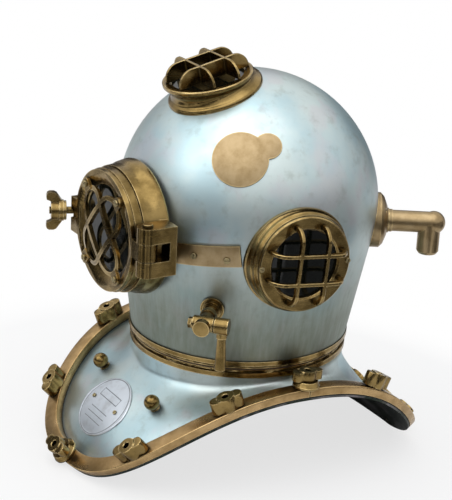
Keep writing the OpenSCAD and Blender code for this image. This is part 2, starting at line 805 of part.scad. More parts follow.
module side_face(side) color(brass) port_axis(side * side_bearing, side_height) difference() {
    turned([[side_bore_r, side_glass_front + face_gap], [side_seat_r, side_glass_front + face_gap],
        [side_seat_r, side_rim + face_gap], [side_face_r, side_rim + face_gap],
        [side_face_r, side_front - 1.2], [side_face_r - 1.2, side_front], [side_bore_r + 2, side_front],
        [side_bore_r, side_front - 2]]);
    side_screw_places() rod(side_screw_r + seat_gap, -side_screw_l, cut);
    side_screw_places() rod(side_screw_head_r + layer_gap, -side_screw_sunk - face_gap, cut);
}
module side_screw_places() for (s = [-1, 1]) translate([s * side_screw_at, 0, side_front]) children();
module side_screws(side) color(screw_grey) port_axis(side * side_bearing, side_height) side_screw_places()
    translate([0, 0, -side_screw_sunk]) slotted_screw(side_screw_head_r, side_screw_head_h,
        side_screw_r, side_screw_l - 2);

// flat bar bent like a staple, its feet on z = foot, its back at z = top
module staple(half, foot, top, depth, bend) difference() {
    union() {
        translate([-half + bend, foot]) square([2 * (half - bend), top - foot]);
        translate([-half, foot]) square([2 * half, top - foot - bend]);
        for (s = [-1, 1]) translate([s * (half - bend), top - bend]) circle(r = bend);
    }
    union() {
        translate([-half + bend, foot - 1]) square([2 * (half - bend), top - foot - depth + 1]);
        translate([-half + depth, foot - 1]) square([2 * (half - depth), top - foot - bend + 1]);
        for (s = [-1, 1]) translate([s * (half - bend), top - bend]) circle(r = bend - depth);
    }
    // the shoulders' circles reach below the foot
    translate([-half, foot - bend]) square([2 * half, bend]);
}
module guard_bars(offset_1, half, foot, top, bar_w, depth, bend) {
    for (q = [0, 90]) rotate([0, 0, q]) for (s = [-1, 1]) translate([0, s * offset_1 + bar_w / 2, 0])
        rotate([90, 0, 0]) linear_extrude(bar_w) staple(half, foot, top, depth, bend);
}
module side_guard(side) color(brass) port_axis(side * side_bearing, side_height)
    rotate([0, 0, -side * side_roll])
    guard_bars(side_bar_offset, side_guard_half, side_front + face_gap, side_bar_top, side_bar_w,
        side_guard_depth, side_guard_bend);

module side_port_left() side_port_whole(1);
module side_glass_left() side_glass(1);
module side_face_left() side_face(1);
module side_guard_left() side_guard(1);
module side_screws_left() side_screws(1);
module side_port_right() side_port_whole(-1);
module side_glass_right() side_glass(-1);
module side_face_right() side_face(-1);
module side_guard_right() side_guard(-1);
module side_screws_right() side_screws(-1);

// axis of the top port's foot, square to the crown
module foot_axis() at_neck() translate([0, crown_back, crown_height]) rotate([top_foot_tilt, 0, 0])
    children();
module top_port() color(brass) {
    difference() {
        union() {
            hull() {
                foot_axis() rod(top_foot_r - 1.8, bonnet_r - 16, bonnet_r - 6.5);
                top_axis() rod(top_rim_r - 0.5, top_glass_front, top_rim_t - top_band + 0.5);
            }
            top_axis() rod(top_rim_r, top_rim_t - top_band, top_rim_t);
        }
        top_axis() rod(top_bore_r + top_ledge, deep, top_glass_front);
        top_axis() rod(top_bore_r, deep, top_rim_t + cut);
        bonnet_form(face_gap);
    }
    difference() {
        laid_on(top_foot_h) foot_axis() rod(top_foot_r, deep, far);
        foot_axis() rod(top_foot_r - 3, deep, far);
    }
}
module top_glass() color(dark_glass) top_axis()
    rod(top_bore_r + top_ledge - seat_gap, top_glass_back, top_glass_front - face_gap);
// two pairs of crossing plates with rounded shoulders
module top_guard() color(brass) top_axis() for (q = [0, 90]) rotate([0, 0, q]) for (s = [-1, 1])
    translate([0, s * top_fin_offset + top_fin_w / 2, 0]) rotate([90, 0, 0]) linear_extrude(top_fin_w)
        intersection() {
        union() {
            for (e = [-1, 1]) translate([e * (top_fin_half - top_fin_round), top_fin_top - top_fin_round])
                circle(r = top_fin_round);
            translate([-top_fin_half, top_rim_t]) square([2 * top_fin_half,
                top_fin_top - top_fin_round - top_rim_t]);
            translate([-top_fin_half + top_fin_round, top_rim_t])
                square([2 * (top_fin_half - top_fin_round), top_fin_top - top_rim_t]);
        }
        translate([-top_fin_half, top_rim_t + face_gap])
            square([2 * top_fin_half, top_fin_top - top_rim_t]);
    }

// spitcock
module cock_axis() at_neck() rotate([0, 0, cock_bearing]) translate([0, -cock_out, cock_height])
    rotate([90 + cock_tip, 0, 0]) children();
module cock_cross() cock_axis() translate([0, 0, cock_plug_at]) rotate([0, 90, 0]) children();
module spitcock_body() color(brass) difference() {
    union() {
        difference() {
            cock_axis() {
                rod(cock_foot_r, -cock_foot_r, 5);
                rod(cock_barrel_r + 2.4, 0, 9);
                rod(cock_barrel_r, 0, cock_tip_at);
                rod(cock_barrel_r + 1.2, 18, 24);
                rod(cock_barrel_r + 1.4, cock_tip_at, cock_tip_at + cock_tip_l);
            }
            bonnet_form(face_gap);
        }
        cock_cross() rod(cock_barrel_r + 0.8, -cock_cross_half, cock_cross_half);
    }
    cock_cross() rod(cock_plug_r + run_gap, -deep, deep);
    cock_axis() rod(cock_bore_r, -cock_foot_r, cock_tip_at + cock_tip_l / 2);
}
module plug_axis() cock_axis() translate([0, 0, cock_plug_at]) rotate([-cock_tip, 0, 0]) children();
module spitcock_plug() color(brass) plug_axis() {
    rotate([0, 90, 0]) {
        rod(cock_plug_r, -cock_cross_half - 0.2, cock_cross_half + 1);
        rod(cock_stem_r, -cock_stem_end, -cock_cross_half);
        rod(cock_plug_r + 2.2, cock_cross_half + running_end, cock_cross_half + 1.5);
        rod(cock_head_r, cock_cross_half + 1.4, cock_head_end);
    }
    // handle hanging from the plug's head
    translate([cock_handle_at, 0, 0]) rotate([90, 0, 0]) {
        rod(5.8, cock_head_r - 2, handle_neck);
        translate([0, 0, handle_neck - 0.1]) cylinder(h = handle_l, r1 = 4.7, r2 = 6.2);
    }
}
module spitcock_nut() color(brass) plug_axis() rotate([0, 90, 0]) difference() {
    union() {
        rod(6.4, -cock_cross_half - 1.6, -cock_cross_half - running_end);
        translate([0, 0, -cock_stem_end + 0.5]) cylinder(h = 4, r = 6, $fn = 6);
    }
    rod(cock_stem_r + seat_gap, -deep, 0);
}

// air elbow
module elbow_flange() color(brass) difference() {
    port_axis(elbow_bearing, elbow_height) difference() {
        turned([[elbow_collar_r + seat_gap, deep], [elbow_flange_r, deep], [elbow_flange_r,
            elbow_flange_top - 8],
            [elbow_flange_r - 4, elbow_flange_top - 4], [elbow_collar_r + 3, elbow_flange_top],
            [elbow_collar_r + seat_gap, elbow_flange_top]]);
        for (a = [45 : 90 : 315]) rotate([0, 0, a]) translate([elbow_dimple_at, 0, 0])
            rod(elbow_dimple_r, elbow_flange_top - 3.5, far);
    }
    bonnet_form(face_gap);
}
module air_elbow() color(brass) difference() {
    port_axis(elbow_bearing, elbow_height) difference() {
        union() {
            rod(elbow_collar_r, deep, elbow_flange_top + 2);
            rod(elbow_tube_r + 0.8, elbow_flange_top - 1, elbow_flange_top + 6);
            rod(elbow_tube_r, elbow_flange_top - 1, elbow_out);
            translate([0, 0, elbow_out + 4.5]) sphere(r = elbow_knee_r);
            translate([0, 0, elbow_out]) rotate([90, 0, 0]) {
                rod(elbow_barrel_r, 0, elbow_drop - elbow_taper);
                translate([0, 0, elbow_drop - elbow_taper - 0.01])
                    cylinder(h = elbow_taper + 0.01, r1 = elbow_barrel_r, r2 = elbow_barrel_r - 2);
            }
        }
        rod(elbow_bore_r - 1, deep, elbow_out);
        translate([0, 0, elbow_out]) rotate([90, 0, 0]) {
            rod(elbow_bore_r - 1, 0, deep);
            rod(elbow_bore_r, elbow_bore_start, deep);
        }
    }
    bonnet_form(face_gap);
}

// exhaust valve
module exhaust_body() color(brass) difference() {
    port_axis(exhaust_bearing, exhaust_height) difference() {
        rod(exhaust_r, deep, exhaust_rim);
        rod(exhaust_bore_r, deep, far);
        rod(exhaust_seat_r, exhaust_rim - 5.5, far);
    }
    bonnet_form(face_gap);
}
module exhaust_cover() color(brass) port_axis(exhaust_bearing, exhaust_height) difference() {
    union() {
        rod(exhaust_r - 1, exhaust_rim + face_gap, exhaust_rim + 4);
        rod(exhaust_seat_r - seat_gap, exhaust_rim - 3, exhaust_rim + 3);
        rod(exhaust_boss_r, exhaust_rim + 3, exhaust_rim + 10);
    }
    rod(exhaust_stem_r + run_gap, deep, far);
    for (a = [0 : 45 : 315]) rotate([0, 0, a]) translate([exhaust_hole_at, 0, 0])
        rod(exhaust_hole_r, deep, far);
}
module exhaust_wheel() color(brass) port_axis(exhaust_bearing, exhaust_height) {
    rod(exhaust_stem_r, exhaust_rim - 5, exhaust_rim + 11);
    rod(exhaust_wheel_r, exhaust_rim + 10 + turn_gap, exhaust_rim + 17);
    for (a = [0 : 60 : 300]) rotate([0, 0, a]) translate([exhaust_wheel_r - 1.5, 0, 0])
        rod(exhaust_grip_r, exhaust_rim + 10 + turn_gap, exhaust_rim + 17);
}

breastplate_shell();
breastplate_neck_ring();
neck_gasket();
collar_gasket();
brail_front_left();
brail_front_right();
brail_rear_left();
brail_rear_right();
rim_studs();
plain_nuts();
flanged_nuts();
lanyard_studs();
nameplate();
nameplate_screws();
bonnet_shell();
bonnet_neck_ring();
bonnet_plate();
port_straps();
strap_screws();
face_port_housing();
face_port_gasket();
door_hinge_pin();
bolt_pivot_pin();
door_frame();
door_glass();
door_glass_ring();
door_guard();
door_guard_screws();
swing_bolt();
bolt_washer();
wing_nut();
side_port_left();
side_glass_left();
side_face_left();
side_guard_left();
side_screws_left();
side_port_right();
side_glass_right();
side_face_right();
side_guard_right();
side_screws_right();
top_port();
top_glass();
top_guard();
spitcock_body();
spitcock_plug();
spitcock_nut();
air_elbow();
elbow_flange();
exhaust_body();
exhaust_cover();
exhaust_wheel();
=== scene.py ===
"""Looks for a surface-supplied diving helmet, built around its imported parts.

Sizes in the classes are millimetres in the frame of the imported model: +Z up, -Y to the front,
+X to the wearer's left. Meshes are written in metres.
"""

import json
import logging
import math
from collections.abc import Callable, Sequence
from dataclasses import dataclass
from enum import Enum

import bmesh
import bpy
from mathutils import Matrix, Vector


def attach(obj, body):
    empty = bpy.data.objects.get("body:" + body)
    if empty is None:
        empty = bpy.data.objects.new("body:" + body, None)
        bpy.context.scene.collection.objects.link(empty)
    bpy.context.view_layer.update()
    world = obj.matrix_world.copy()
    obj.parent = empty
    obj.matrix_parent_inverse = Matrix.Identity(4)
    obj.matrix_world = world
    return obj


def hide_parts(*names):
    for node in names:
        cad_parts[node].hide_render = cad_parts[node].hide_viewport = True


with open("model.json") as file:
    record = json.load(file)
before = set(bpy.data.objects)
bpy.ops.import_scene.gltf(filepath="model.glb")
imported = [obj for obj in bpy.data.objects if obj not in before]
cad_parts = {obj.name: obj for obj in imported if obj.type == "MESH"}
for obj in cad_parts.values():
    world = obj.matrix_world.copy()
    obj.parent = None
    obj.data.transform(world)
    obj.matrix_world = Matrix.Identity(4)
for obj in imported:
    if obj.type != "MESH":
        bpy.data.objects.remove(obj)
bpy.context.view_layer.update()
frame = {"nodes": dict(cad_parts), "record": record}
log = logging.getLogger("helmet")

# MERGE and ON_PLANE are in metres; FLAT, PACKED_SHARP and NECK_TILT are in degrees
MM = 0.001
MERGE = 1e-6
ON_PLANE = 1e-7
FLAT = 0.5
NECK_HEIGHT = 128.0
NECK_TILT = 2.8
PACKED_SHARP = 33.0
Colour = tuple[float, float, float, float]
Outline = Sequence[tuple[float, float]]


def rgb(red: int, green: int, blue: int) -> Colour:
    """Turn a screen colour into linear light.

    Args:
        red: red from 0 to 255.
        green: green from 0 to 255.
        blue: blue from 0 to 255.

    Returns:
        The linear colour, opaque.
    """
    parts = [c / 255 for c in (red, green, blue)]
    linear = [c / 12.92 if c < 0.04 else ((c + 0.055) / 1.055) ** 2.4 for c in parts]
    return (linear[0], linear[1], linear[2], 1.0)


class Slot(Enum):
    """Finishes that the record names."""

    TINNED = "tinned_metal"
    AGED_BRASS = "aged_brass"
    BRIGHT_BRASS = "bright_brass"
    BRAIL_BRASS = "brail_brass"
    GLASS = "port_glass"
    RUBBER = "rubber_seal"
    LEATHER = "leather_washer"
    NAMEPLATE = "nameplate_metal"
    SCREWS = "steel_screws"


# shader writing


@dataclass(frozen=True)
class Wire:
    """A number on its way through a shader, written as arithmetic."""

    paint: "Paint"
    socket: bpy.types.NodeSocket

    def __add__(self, other: "Wire | float") -> "Wire":
        """Add."""
        return self.paint.math("ADD", self, other)

    def __sub__(self, other: "Wire | float") -> "Wire":
        """Take away."""
        return self.paint.math("SUBTRACT", self, other)

    def __rsub__(self, other: float) -> "Wire":
        """Be taken away from a number."""
        return self.paint.math("SUBTRACT", other, self)

    def __mul__(self, other: "Wire | float") -> "Wire":
        """Multiply."""
        return self.paint.math("MULTIPLY", self, other)

    def __pow__(self, other: float) -> "Wire":
        """Raise to a power."""
        return self.paint.math("POWER", self, other)

    def __abs__(self) -> "Wire":
        """Drop the sign."""
        return self.paint.math("ABSOLUTE", self, 0.0)

    __radd__ = __add__
    __rmul__ = __mul__


class Paint:
    """Writes the nodes of one material or world."""

    def __init__(self, tree: bpy.types.NodeTree) -> None:
        """Keep the tree that is written."""
        self.tree = tree

    def feed(self, socket: bpy.types.NodeSocket, value: object) -> None:
        """Link a wire or socket to a socket, or set its value.

        Args:
            socket: the input that is fed.
            value: a Wire, an output socket or a plain value.
        """
        source = value.socket if isinstance(value, Wire) else value
        if isinstance(source, bpy.types.NodeSocket):
            self.tree.links.new(source, socket)
        else:
            socket.default_value = source

    def node(self, kind: str, settings: dict[str, object] | None = None,
             inputs: dict[str | int, object] | None = None) -> bpy.types.Node:
        """Add any node.

        Args:
            kind: the node's type.
            settings: what is set on the node itself, before its sockets.
            inputs: values or links of its sockets, by name or number.

        Returns:
            The new node.
        """
        made = self.tree.nodes.new(kind)
        for key, value in (settings or {}).items():
            setattr(made, key, value)
        for key, value in (inputs or {}).items():
            self.feed(made.inputs[key], value)
        return made

    def wire(self, made: bpy.types.Node, name: str | int = 0) -> Wire:
        """Wrap one of a node's outputs."""
        return Wire(self, made.outputs[name])

    def math(self, operation: str, left: Wire | float, right: Wire | float) -> Wire:
        """Work out one step of arithmetic in the shader."""
        return self.wire(self.node("ShaderNodeMath", {"operation": operation}, {0: left, 1: right}))

    def steps(self, value: Wire, low: float, high: float) -> Wire:
        """Rise smoothly from 0 at low to 1 at high."""
        return self.wire(self.node("ShaderNodeMapRange", {"interpolation_type": "SMOOTHSTEP"},
                                   {0: value, 1: low, 2: high, 3: 0.0, 4: 1.0}))

    def most(self, left: Wire, right: Wire | float) -> Wire:
        """Take the larger of two numbers."""
        return self.math("MAXIMUM", left, right)

    def mix(self, share: Wire | float, under: object, over: object) -> bpy.types.NodeSocket:
        """Lay one colour over another, where share says how much of the upper one shows."""
        settings = {"data_type": "RGBA", "blend_type": "MIX", "clamp_factor": True}
        return self.node("ShaderNodeMix", settings, {0: share, 6: under, 7: over}).outputs[2]

    def coords(self, scale: Sequence[float] = (1, 1, 1),
               turn: Sequence[float] = (0, 0, 0)) -> bpy.types.NodeSocket:
        """Object coordinates, stretched and turned.

        Args:
            scale: stretch along each axis.
            turn: turn about each axis, degrees.

        Returns:
            The socket with the coordinates.
        """
        source = self.node("ShaderNodeTexCoord").outputs["Object"]
        inputs = {"Vector": source, "Scale": scale, "Rotation": [math.radians(a) for a in turn]}
        return self.node("ShaderNodeMapping", {}, inputs).outputs[0]

    def parts(self, vector: bpy.types.NodeSocket) -> list[Wire]:
        """Take a vector apart into x, y and z."""
        made = self.node("ShaderNodeSeparateXYZ", {}, {0: vector})
        return [self.wire(made, number) for number in range(3)]

    def noise(self, size: float, detail: float = 4.0, rough: float = 0.55,
              scale: Sequence[float] = (1, 1, 1), turn: Sequence[float] = (0, 0, 0)) -> Wire:
        """Soft irregular blotches.

        Args:
            size: width of the largest blotches, mm.
            detail: how many finer layers are added.
            rough: how strong the finer layers are.
            scale: stretch along each axis.
            turn: turn about each axis, degrees.

        Returns:
            The blotches, about 0 to 1.
        """
        inputs = {"Vector": self.coords(scale, turn), "Scale": 1 / (size * MM), "Detail": detail,
                  "Roughness": rough}
        return self.wire(self.node("ShaderNodeTexNoise", {}, inputs), "Fac")

    def corners(self, reach: float) -> Wire:
        """How deep in a corner a point lies, 0 in the open; reach is how far neighbours count, mm."""
        made = self.node("ShaderNodeAmbientOcclusion", {"samples": 6}, {"Distance": reach * MM})
        return 1.0 - self.wire(made, "AO")

    def edges(self, radius: float) -> Wire:
        """How near a sharp edge a point lies, 0 away from edges.

        Args:
            radius: width of the band along edges, mm.

        Returns:
            The nearness, 0 to 1.
        """
        rounded = self.node("ShaderNodeBevel", {"samples": 4}, {"Radius": radius * MM}).outputs[0]
        flat = self.node("ShaderNodeNewGeometry").outputs["Normal"]
        dot = self.node("ShaderNodeVectorMath", {"operation": "DOT_PRODUCT"}, {0: rounded, 1: flat})
        return self.steps(1.0 - self.wire(dot, "Value"), 0.004, 0.12)

    def surface(self, tone: object, rough: object, relief: Wire | None = None, depth: float = 0.0,
                constants: dict[str, object] | None = None) -> None:
        """Feed the material's own shader.

        Args:
            tone: the base colour, a value or a socket.
            rough: the roughness.
            relief: height of the surface's bumps, 0 to 1, or None where it is even.
            depth: how deep the bumps are, mm.
            constants: plain values of the shader's other inputs, by name.
        """
        shader = self.tree.nodes["Principled BSDF"]
        self.feed(shader.inputs["Base Color"], tone)
        self.feed(shader.inputs["Roughness"], rough)
        if relief is not None:
            inputs = {"Height": relief, "Distance": depth * MM, "Strength": 1.0}
            self.feed(shader.inputs["Normal"], self.node("ShaderNodeBump", {}, inputs).outputs[0])
        for name, value in (constants or {}).items():
            shader.inputs[name].default_value = value


def new_material(name: str) -> tuple[bpy.types.Material, Paint]:
    """Make an empty material and the writer of its nodes.

    Args:
        name: name of the material.

    Returns:
        The material and its writer.
    """
    material = bpy.data.materials.new(name)
    material.use_nodes = True
    return material, Paint(material.node_tree)


@dataclass(frozen=True)
class Finish:
    """A finish, made into a material once."""

    def make(self, name: str) -> bpy.types.Material:
        """Make the material.

        Args:
            name: name of the material.

        Returns:
            The material.
        """
        material, paint = new_material(name)
        self.write(paint)
        return material

    def write(self, paint: Paint) -> None:
        """Write the nodes that feed the shader."""
        raise NotImplementedError


@dataclass(frozen=True)
class Brass(Finish):
    """Cast brass: clouds of tone, brown tarnish and painted shade in corners, edges lightened by wear and
    painted highlight, and fine scratches.
    """

    tone: Colour = rgb(152, 128, 80)
    deep: Colour = rgb(92, 74, 38)
    tarnish_and_shade: Colour = rgb(16, 14, 8)
    wear_and_highlight: Colour = rgb(236, 210, 154)
    cloud: float = 26.0
    tarnish_and_shade_share: float = 1.0
    wear_and_highlight_share: float = 0.85
    smooth: float = 0.13
    dull: float = 0.32
    depth: float = 0.16

    def write(self, paint: Paint) -> None:
        """Write tarnish with painted shade, wear with painted highlight, and scratches.

        Args:
            paint: the node writer.
        """
        clouds = paint.noise(self.cloud, 6, 0.62)
        grain = paint.noise(1.6, 3, 0.6)
        specks = paint.steps(paint.noise(4.5, 4, 0.7), 0.62, 0.74)
        corners = paint.steps(paint.corners(9.0), 0.06, 0.62) * (0.6 + 0.7 * clouds)
        open_air = 1.0 - paint.steps(paint.corners(5.0), 0.30, 0.60)
        wear_and_highlight_patches = 0.35 + 0.65 * paint.steps(paint.noise(9, 3, 0.6), 0.30, 0.62)
        edges = paint.edges(1.9) * open_air * wear_and_highlight_patches
        scratches = paint.steps(paint.noise(2.2, 2, 0.5, (1, 0.05, 1), (20, 0, 35)), 0.60, 0.72)
        tone = paint.mix(paint.steps(clouds, 0.34, 0.72) * 0.8, self.tone, self.deep)
        tone = paint.mix(specks * 0.3, tone, self.deep)
        # painted shade: corners and recesses darken toward near-black, together with brown tarnish
        tone = paint.mix(corners * self.tarnish_and_shade_share, tone, self.tarnish_and_shade)
        # painted highlight: sharp edges lighten as if catching the light, together with wear in patches
        tone = paint.mix(edges * self.wear_and_highlight_share, tone, self.wear_and_highlight)
        rough = self.smooth + clouds * (self.dull - self.smooth) + corners * 0.22
        rough = rough + specks * 0.06 + scratches * 0.08 - edges * 0.06
        relief = clouds * 0.55 + grain * 0.18 + scratches * -0.12 + specks * -0.15
        paint.surface(tone, rough, relief, self.depth, {"Metallic": 1.0})


@dataclass(frozen=True)
class Tinned(Finish):
    """Spun tinned metal: pale blue-grey with clouds, streaks and smudges, painted shade in corners, and
    darker, warmer grey and rougher on the bonnet's skirt.

    skirt and neck are the heights in metres over which the skirt fades out and sets in.
    """

    pale: Colour = rgb(204, 217, 216)
    cool: Colour = rgb(182, 206, 212)
    warm: Colour = rgb(120, 125, 108)
    blush: Colour = rgb(208, 198, 204)
    stain_and_shade: Colour = rgb(104, 102, 86)
    skirt: tuple[float, float] = (0.165, 0.300)
    neck: tuple[float, float] = (0.122, 0.130)

    def write(self, paint: Paint) -> None:
        """Write clouds, streaks, smudges, the darker skirt and painted shade in corners.

        Args:
            paint: the node writer.
        """
        clouds = paint.noise(85, 4, 0.5)
        mottle = paint.noise(16, 5, 0.65)
        streaks = paint.noise(5, 4, 0.6, (1, 1, 0.07))
        hairs = paint.noise(1.1, 2, 0.5, (1, 1, 0.025))
        height = paint.parts(paint.coords())[2]
        low = 1.0 - paint.steps(height, *self.skirt)
        rosy = paint.steps(paint.noise(52, 3, 0.5, (1, 1.3, 1), (0, 0, 40)), 0.50, 0.66)
        skirt = low * paint.steps(height, *self.neck)
        corners = paint.steps(paint.corners(9.0), 0.22, 0.85) * (0.3 + mottle)
        specks = paint.steps(paint.noise(2.6, 3, 0.7), 0.68, 0.76)
        tone = paint.mix(paint.steps(clouds, 0.38, 0.62), self.pale, self.cool)
        tone = paint.mix(rosy * 0.35, tone, self.blush)
        tone = paint.mix(skirt * (0.62 + streaks * 0.4), tone, self.warm)
        tone = paint.mix(paint.steps(mottle, 0.50, 0.75) * 0.24, tone, self.warm)
        # painted shade: corners and recesses darken, mixed with random smudges
        tone = paint.mix(corners * 0.8 + specks * 0.22, tone, self.stain_and_shade)
        rough = 0.38 + mottle * 0.08 + streaks * 0.03 + corners * 0.2 + skirt * 0.04
        relief = mottle * 0.5 + clouds * 1.2 + hairs * 0.04
        paint.surface(tone, rough, relief, 0.22, {"Metallic": 1.0})


@dataclass(frozen=True)
class Glass(Finish):
    """Thick old plate glass, coloured near-black as painted shade for the bonnet's unlit inside, with a film
    of dust toward its edge.
    """

    # painted shade: the glass's own colour stands in for the unlit inside of the bonnet
    dark: Colour = rgb(12, 15, 12)
    dusty: Colour = rgb(70, 68, 52)

    def write(self, paint: Paint) -> None:
        """Write the dust film and the faint waves.

        Args:
            paint: the node writer.
        """
        dust = paint.steps(paint.noise(12, 5, 0.7), 0.42, 0.8)
        edge = paint.steps(paint.corners(8.0), 0.10, 0.6)
        tone = paint.mix(dust * 0.06 + edge * 0.22, self.dark, self.dusty)
        paint.surface(tone, 0.03 + dust * 0.10 + edge * 0.18, paint.noise(30, 2, 0.4), 0.12,
                      {"Transmission Weight": 0.25, "Specular IOR Level": 0.28, "IOR": 1.5})


@dataclass(frozen=True)
class Soft(Finish):
    """Rubber or leather: matt, grained, dusty in blotches."""

    tone: Colour = rgb(34, 33, 32)
    dusty: Colour = rgb(92, 86, 78)
    grain: float = 1.2
    rough: float = 0.78

    def write(self, paint: Paint) -> None:
        """Write the grain and the dust.

        Args:
            paint: the node writer.
        """
        inputs = {"Vector": paint.coords(), "Scale": 1 / (self.grain * MM)}
        cells = paint.wire(paint.node("ShaderNodeTexVoronoi", {}, inputs))
        dust = paint.steps(paint.noise(14, 5, 0.65), 0.45, 0.8)
        tone = paint.mix(dust * 0.5, self.tone, self.dusty)
        paint.surface(tone, self.rough + dust * 0.12, cells, 0.12)


@dataclass(frozen=True)
class Steel(Finish):
    """Worn screws with a brassy bloom and tarnish, with painted shade in their slots."""

    tone: Colour = rgb(196, 180, 136)
    dark: Colour = rgb(60, 50, 30)

    def write(self, paint: Paint) -> None:
        """Write the tarnish and the painted shade.

        Args:
            paint: the node writer.
        """
        corners = paint.steps(paint.corners(1.6), 0.10, 0.6)
        blotch = paint.noise(3, 4, 0.6)
        tone = paint.mix(paint.steps(blotch, 0.4, 0.75) * 0.4, self.tone, self.dark)
        # painted shade in the slots and round the heads, in the tarnish colour
        tone = paint.mix(corners * 0.85, tone, self.dark)
        rough = 0.26 + blotch * 0.2 + corners * 0.2
        paint.surface(tone, rough, blotch, 0.06, {"Metallic": 1.0})


@dataclass(frozen=True)
class Plate(Finish):
    """Brushed plate with a ring, an empty box and ruled lines cut into it, in shares of its radius."""

    tone: Colour = rgb(214, 221, 228)
    smudged: Colour = rgb(150, 150, 148)
    cut: Colour = rgb(84, 88, 94)
    ring: float = 0.86
    half_ring: float = 0.012
    half_line: float = 0.011
    box_at: float = 0.30
    box_wide: float = 0.46
    box_high: float = 0.11
    rules: tuple[float, ...] = (-0.18, -0.34, -0.50)
    rule_end: float = 0.42

    def write(self, paint: Paint) -> None:
        """Write the brushed face, what is cut into it, and painted shade by the border.

        Args:
            paint: the node writer.
        """
        place = paint.node("ShaderNodeUVMap", {"uv_map": "face"}).outputs[0]
        across, along, _ = paint.parts(place)
        away = (across * across + along * along) ** 0.5
        cut = self.line(paint, away, self.ring, self.half_ring)
        box = paint.most(abs(across) - self.box_wide, abs(along - self.box_at) - self.box_high)
        cut = paint.most(cut, self.line(paint, box, 0.0, self.half_line))
        inside = 1.0 - paint.steps(abs(across), self.rule_end, self.rule_end + 0.03)
        for at in self.rules:
            cut = paint.most(cut, self.line(paint, along, at, self.half_line) * inside)
        brushed = paint.noise(0.8, 3, 0.6, (0.06, 1, 1))
        smudge = paint.noise(14, 4, 0.6)
        corners = paint.steps(paint.corners(4.0), 0.15, 0.7)
        tone = paint.mix(paint.steps(smudge, 0.45, 0.75) * 0.35, self.tone, self.smudged)
        # painted shade: the cut colour also darkens the corners by the raised border
        tone = paint.mix(cut * 0.75 + corners * 0.5, tone, self.cut)
        rough = 0.30 + brushed * 0.12 + smudge * 0.08 + cut * 0.2
        relief = brushed * 0.15 - cut + smudge * 0.4
        paint.surface(tone, rough, relief, 0.16, {"Metallic": 0.9})

    def line(self, paint: Paint, value: Wire, at: float, half: float) -> Wire:
        """Mark where a value lies within half a line's width of at."""
        return 1.0 - paint.steps(abs(value - at), half * 0.6, half * 1.4)


FINISHES: dict[Slot, Finish] = {
    Slot.TINNED: Tinned(),
    Slot.AGED_BRASS: Brass(),
    Slot.BRIGHT_BRASS: Brass(tone=rgb(168, 147, 112), deep=rgb(138, 116, 80), cloud=16.0,
                             tarnish_and_shade_share=0.6, smooth=0.26, dull=0.42, depth=0.10),
    Slot.BRAIL_BRASS: Brass(tone=rgb(196, 164, 116), deep=rgb(134, 106, 64), cloud=34.0,
                            tarnish_and_shade_share=0.85, smooth=0.20, dull=0.36, depth=0.12),
    Slot.GLASS: Glass(),
    Slot.RUBBER: Soft(),
    Slot.LEATHER: Soft(tone=rgb(58, 40, 26), dusty=rgb(104, 82, 58), grain=1.6, rough=0.7),
    Slot.NAMEPLATE: Plate(),
    Slot.SCREWS: Steel(),
}
MATERIALS = {slot: finish.make(slot.value) for slot, finish in FINISHES.items()}
# painted shade: a darkened tinned finish for the breastplate's inside and rim edge, which lie in shade
SHADED_TINNED = Tinned(pale=rgb(50, 58, 48), cool=rgb(38, 48, 42), warm=rgb(56, 54, 40), stain_and_shade=rgb(22, 22, 16))
PAINTED_SHADE_INSIDE = SHADED_TINNED.make("tinned_inside")
SLOT_OF = {part["node"]: Slot(part["material_slot"]) for part in frame["record"]["subparts"]}
BODY_OF = {node: body for body, nodes in frame["record"]["behaviour"]["bodies"].items() for node in nodes}


# mesh making


def polar(radius: float, angle: float, z: float) -> Vector:
    """Point at a radius and an angle in radians round the z axis."""
    return Vector((radius * math.cos(angle), radius * math.sin(angle), z))


def around(count: int) -> list[float]:
    """Angles of equal steps round a circle, radians."""
    return [2 * math.pi * k / count for k in range(count)]


def on_floor(point: Vector) -> Vector:
    """Keep a point above the floor."""
    return Vector((point.x, point.y, max(0.0, point.z)))


def put(name: str, data: bpy.types.ID) -> bpy.types.Object:
    """Put a new object into the scene.

    Args:
        name: name of the object.
        data: its mesh, lamp or camera.

    Returns:
        The object.
    """
    made = bpy.data.objects.new(name, data)
    bpy.context.scene.collection.objects.link(made)
    return made


def put_mesh(name: str, work: bmesh.types.BMesh, sharp: float) -> bpy.types.Object:
    """Put a worked mesh into the scene, smooth apart from edges that bend more than sharp.

    Args:
        name: name of the piece.
        work: the mesh, in metres; it is freed.
        sharp: edges that bend more than this stay sharp, degrees.

    Returns:
        The new object.
    """
    mesh = bpy.data.meshes.new(name)
    work.to_mesh(mesh)
    work.free()
    mesh.shade_smooth()
    mesh.set_sharp_from_angle(angle=math.radians(sharp))
    return put(name, mesh)


def make_piece(name: str, points: Sequence[Vector], faces: Sequence[Sequence[int]],
               sharp: float = 35.0) -> bpy.types.Object:
    """Make a smooth-shaded mesh piece from points in millimetres.

    Args:
        name: name of the piece.
        points: its points, mm.
        faces: its faces, as numbers of points.
        sharp: edges that bend more than this stay sharp, degrees.

    Returns:
        The new object.
    """
    work = bmesh.new()
    corners = [work.verts.new(point * MM) for point in points]
    for face in faces:
        work.faces.new([corners[n] for n in face])
    work.verts.index_update()
    bmesh.ops.remove_doubles(work, verts=work.verts, dist=MERGE)
    bmesh.ops.recalc_face_normals(work, faces=work.faces)
    return put_mesh(name, work, sharp)


